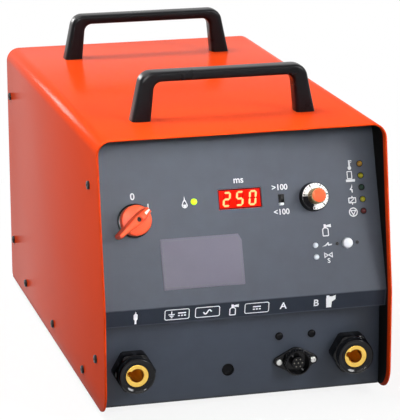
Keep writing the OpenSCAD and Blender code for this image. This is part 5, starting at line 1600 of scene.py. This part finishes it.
def wire_rod(start, end, height):
    """A straight wire between two places: circles across its way, smaller towards both ends."""
    way = (end - start) / np.linalg.norm(end - start)
    side = np.array([-way[1], way[0]])
    turn = around(WIRE_SIDES)
    stations = [(start + way * s, r) for s, r in ROD_END] + [(end - way * s, r) for s, r in ROD_END[::-1]]
    return stack([
        np.column_stack([place + np.outer(r * np.cos(turn), side), height + r * np.sin(turn)])
        for place, r in stations])


lug = ringed([
    (LUG_HOLE, 0), (LUG_R, 0), (LUG_R, LUG_T - 0.2), (LUG_R - 0.2, LUG_T), (LUG_HOLE, LUG_T)], 32)
guard = [moved(wire_ring(hole_reach * part, guard_top - WIRE), guard_middle) for part in RING_SHARES]
for place in fan_screw_places:
    toward = (place - guard_middle) / np.linalg.norm(place - guard_middle)
    guard.append(wire_rod(guard_middle[:2], (place - toward * LUG_OVERLAP)[:2], WIRE))
    guard.append(moved(lug, place))
stand_in("fan_guard", guard, rear)
fan_screw = moved(screw_head(3.6, 2.4, 1.5, 1.2, 2.1, 20), (0, 0, LUG_T))
stand_in("fan_screws", [moved(fan_screw, place) for place in fan_screw_places], rear)
print("guard rings:", len(RING_SHARES), "screws:", len(fan_screw_places))

# %% [markdown]
# ## Cable gland
# The mains cable enters through a gland: a hexagon and a thread through the rear panel, a nut
# behind it, and a ribbed cap that is screwed on by hand. Both pieces are rings with a bore, again
# with a radius that can differ from angle to angle.

# %% Cable gland
GLAND_HEX, GLAND_CUT, GLAND_BORE, GLAND_THREAD, GLAND_CAP = 17.5, 0.97, 7.5, 12.5, 16
PANEL_BACK, NUT_BACK = -2, -7
CAP_RIBS, CAP_RIB_DEPTH = 24, 0.7
gland_middle = rear.middle("cable_gland_cap")
gland_low, gland_high = rear.span("cable_gland_body")
gland_foot, gland_top = gland_low[2], gland_high[2]
gland_hex = soft_hexagon(GLAND_HEX, GLAND_CUT)
gland_body = lathe([
    (GLAND_BORE, gland_foot), (GLAND_THREAD, gland_foot), (GLAND_THREAD, NUT_BACK), (gland_hex, NUT_BACK),
    (gland_hex, PANEL_BACK), (GLAND_THREAD, PANEL_BACK), (GLAND_THREAD, 0), (gland_hex - 0.5, 0),
    (gland_hex, 0.5), (gland_hex, gland_top - 0.8), (gland_hex - 0.8, gland_top), (GLAND_BORE, gland_top),
    (GLAND_BORE, gland_foot)], FINE_ROUND)
stand_in("cable_gland_body", [moved(gland_body, gland_middle)], rear)

gland_cap_low, gland_cap_high = rear.span("cable_gland_cap")
gland_cap_foot, gland_cap_top = gland_cap_low[2], gland_cap_high[2]
cap_angle = around(CAP_RIBS * 8)
cap_grip = fluted(GLAND_CAP, cap_angle, CAP_RIBS, CAP_RIB_DEPTH, 2)
gland_cap = lathe([
    (GLAND_BORE, gland_cap_foot), (GLAND_CAP - 0.8, gland_cap_foot), (cap_grip, gland_cap_foot + 0.8),
    (cap_grip, gland_cap_top - 6), (GLAND_CAP - 0.9, gland_cap_top - 5),
    (GLAND_CAP - 2.4, gland_cap_top - 2.4), (GLAND_CAP - 5, gland_cap_top),
    (GLAND_BORE + 0.8, gland_cap_top), (GLAND_BORE, gland_cap_top - 0.8),
    (GLAND_BORE, gland_cap_foot)], cap_angle)
stand_in("cable_gland_cap", [moved(gland_cap, gland_middle)], rear)
print("gland cap reaches", round(gland_cap_top, 1), "mm")
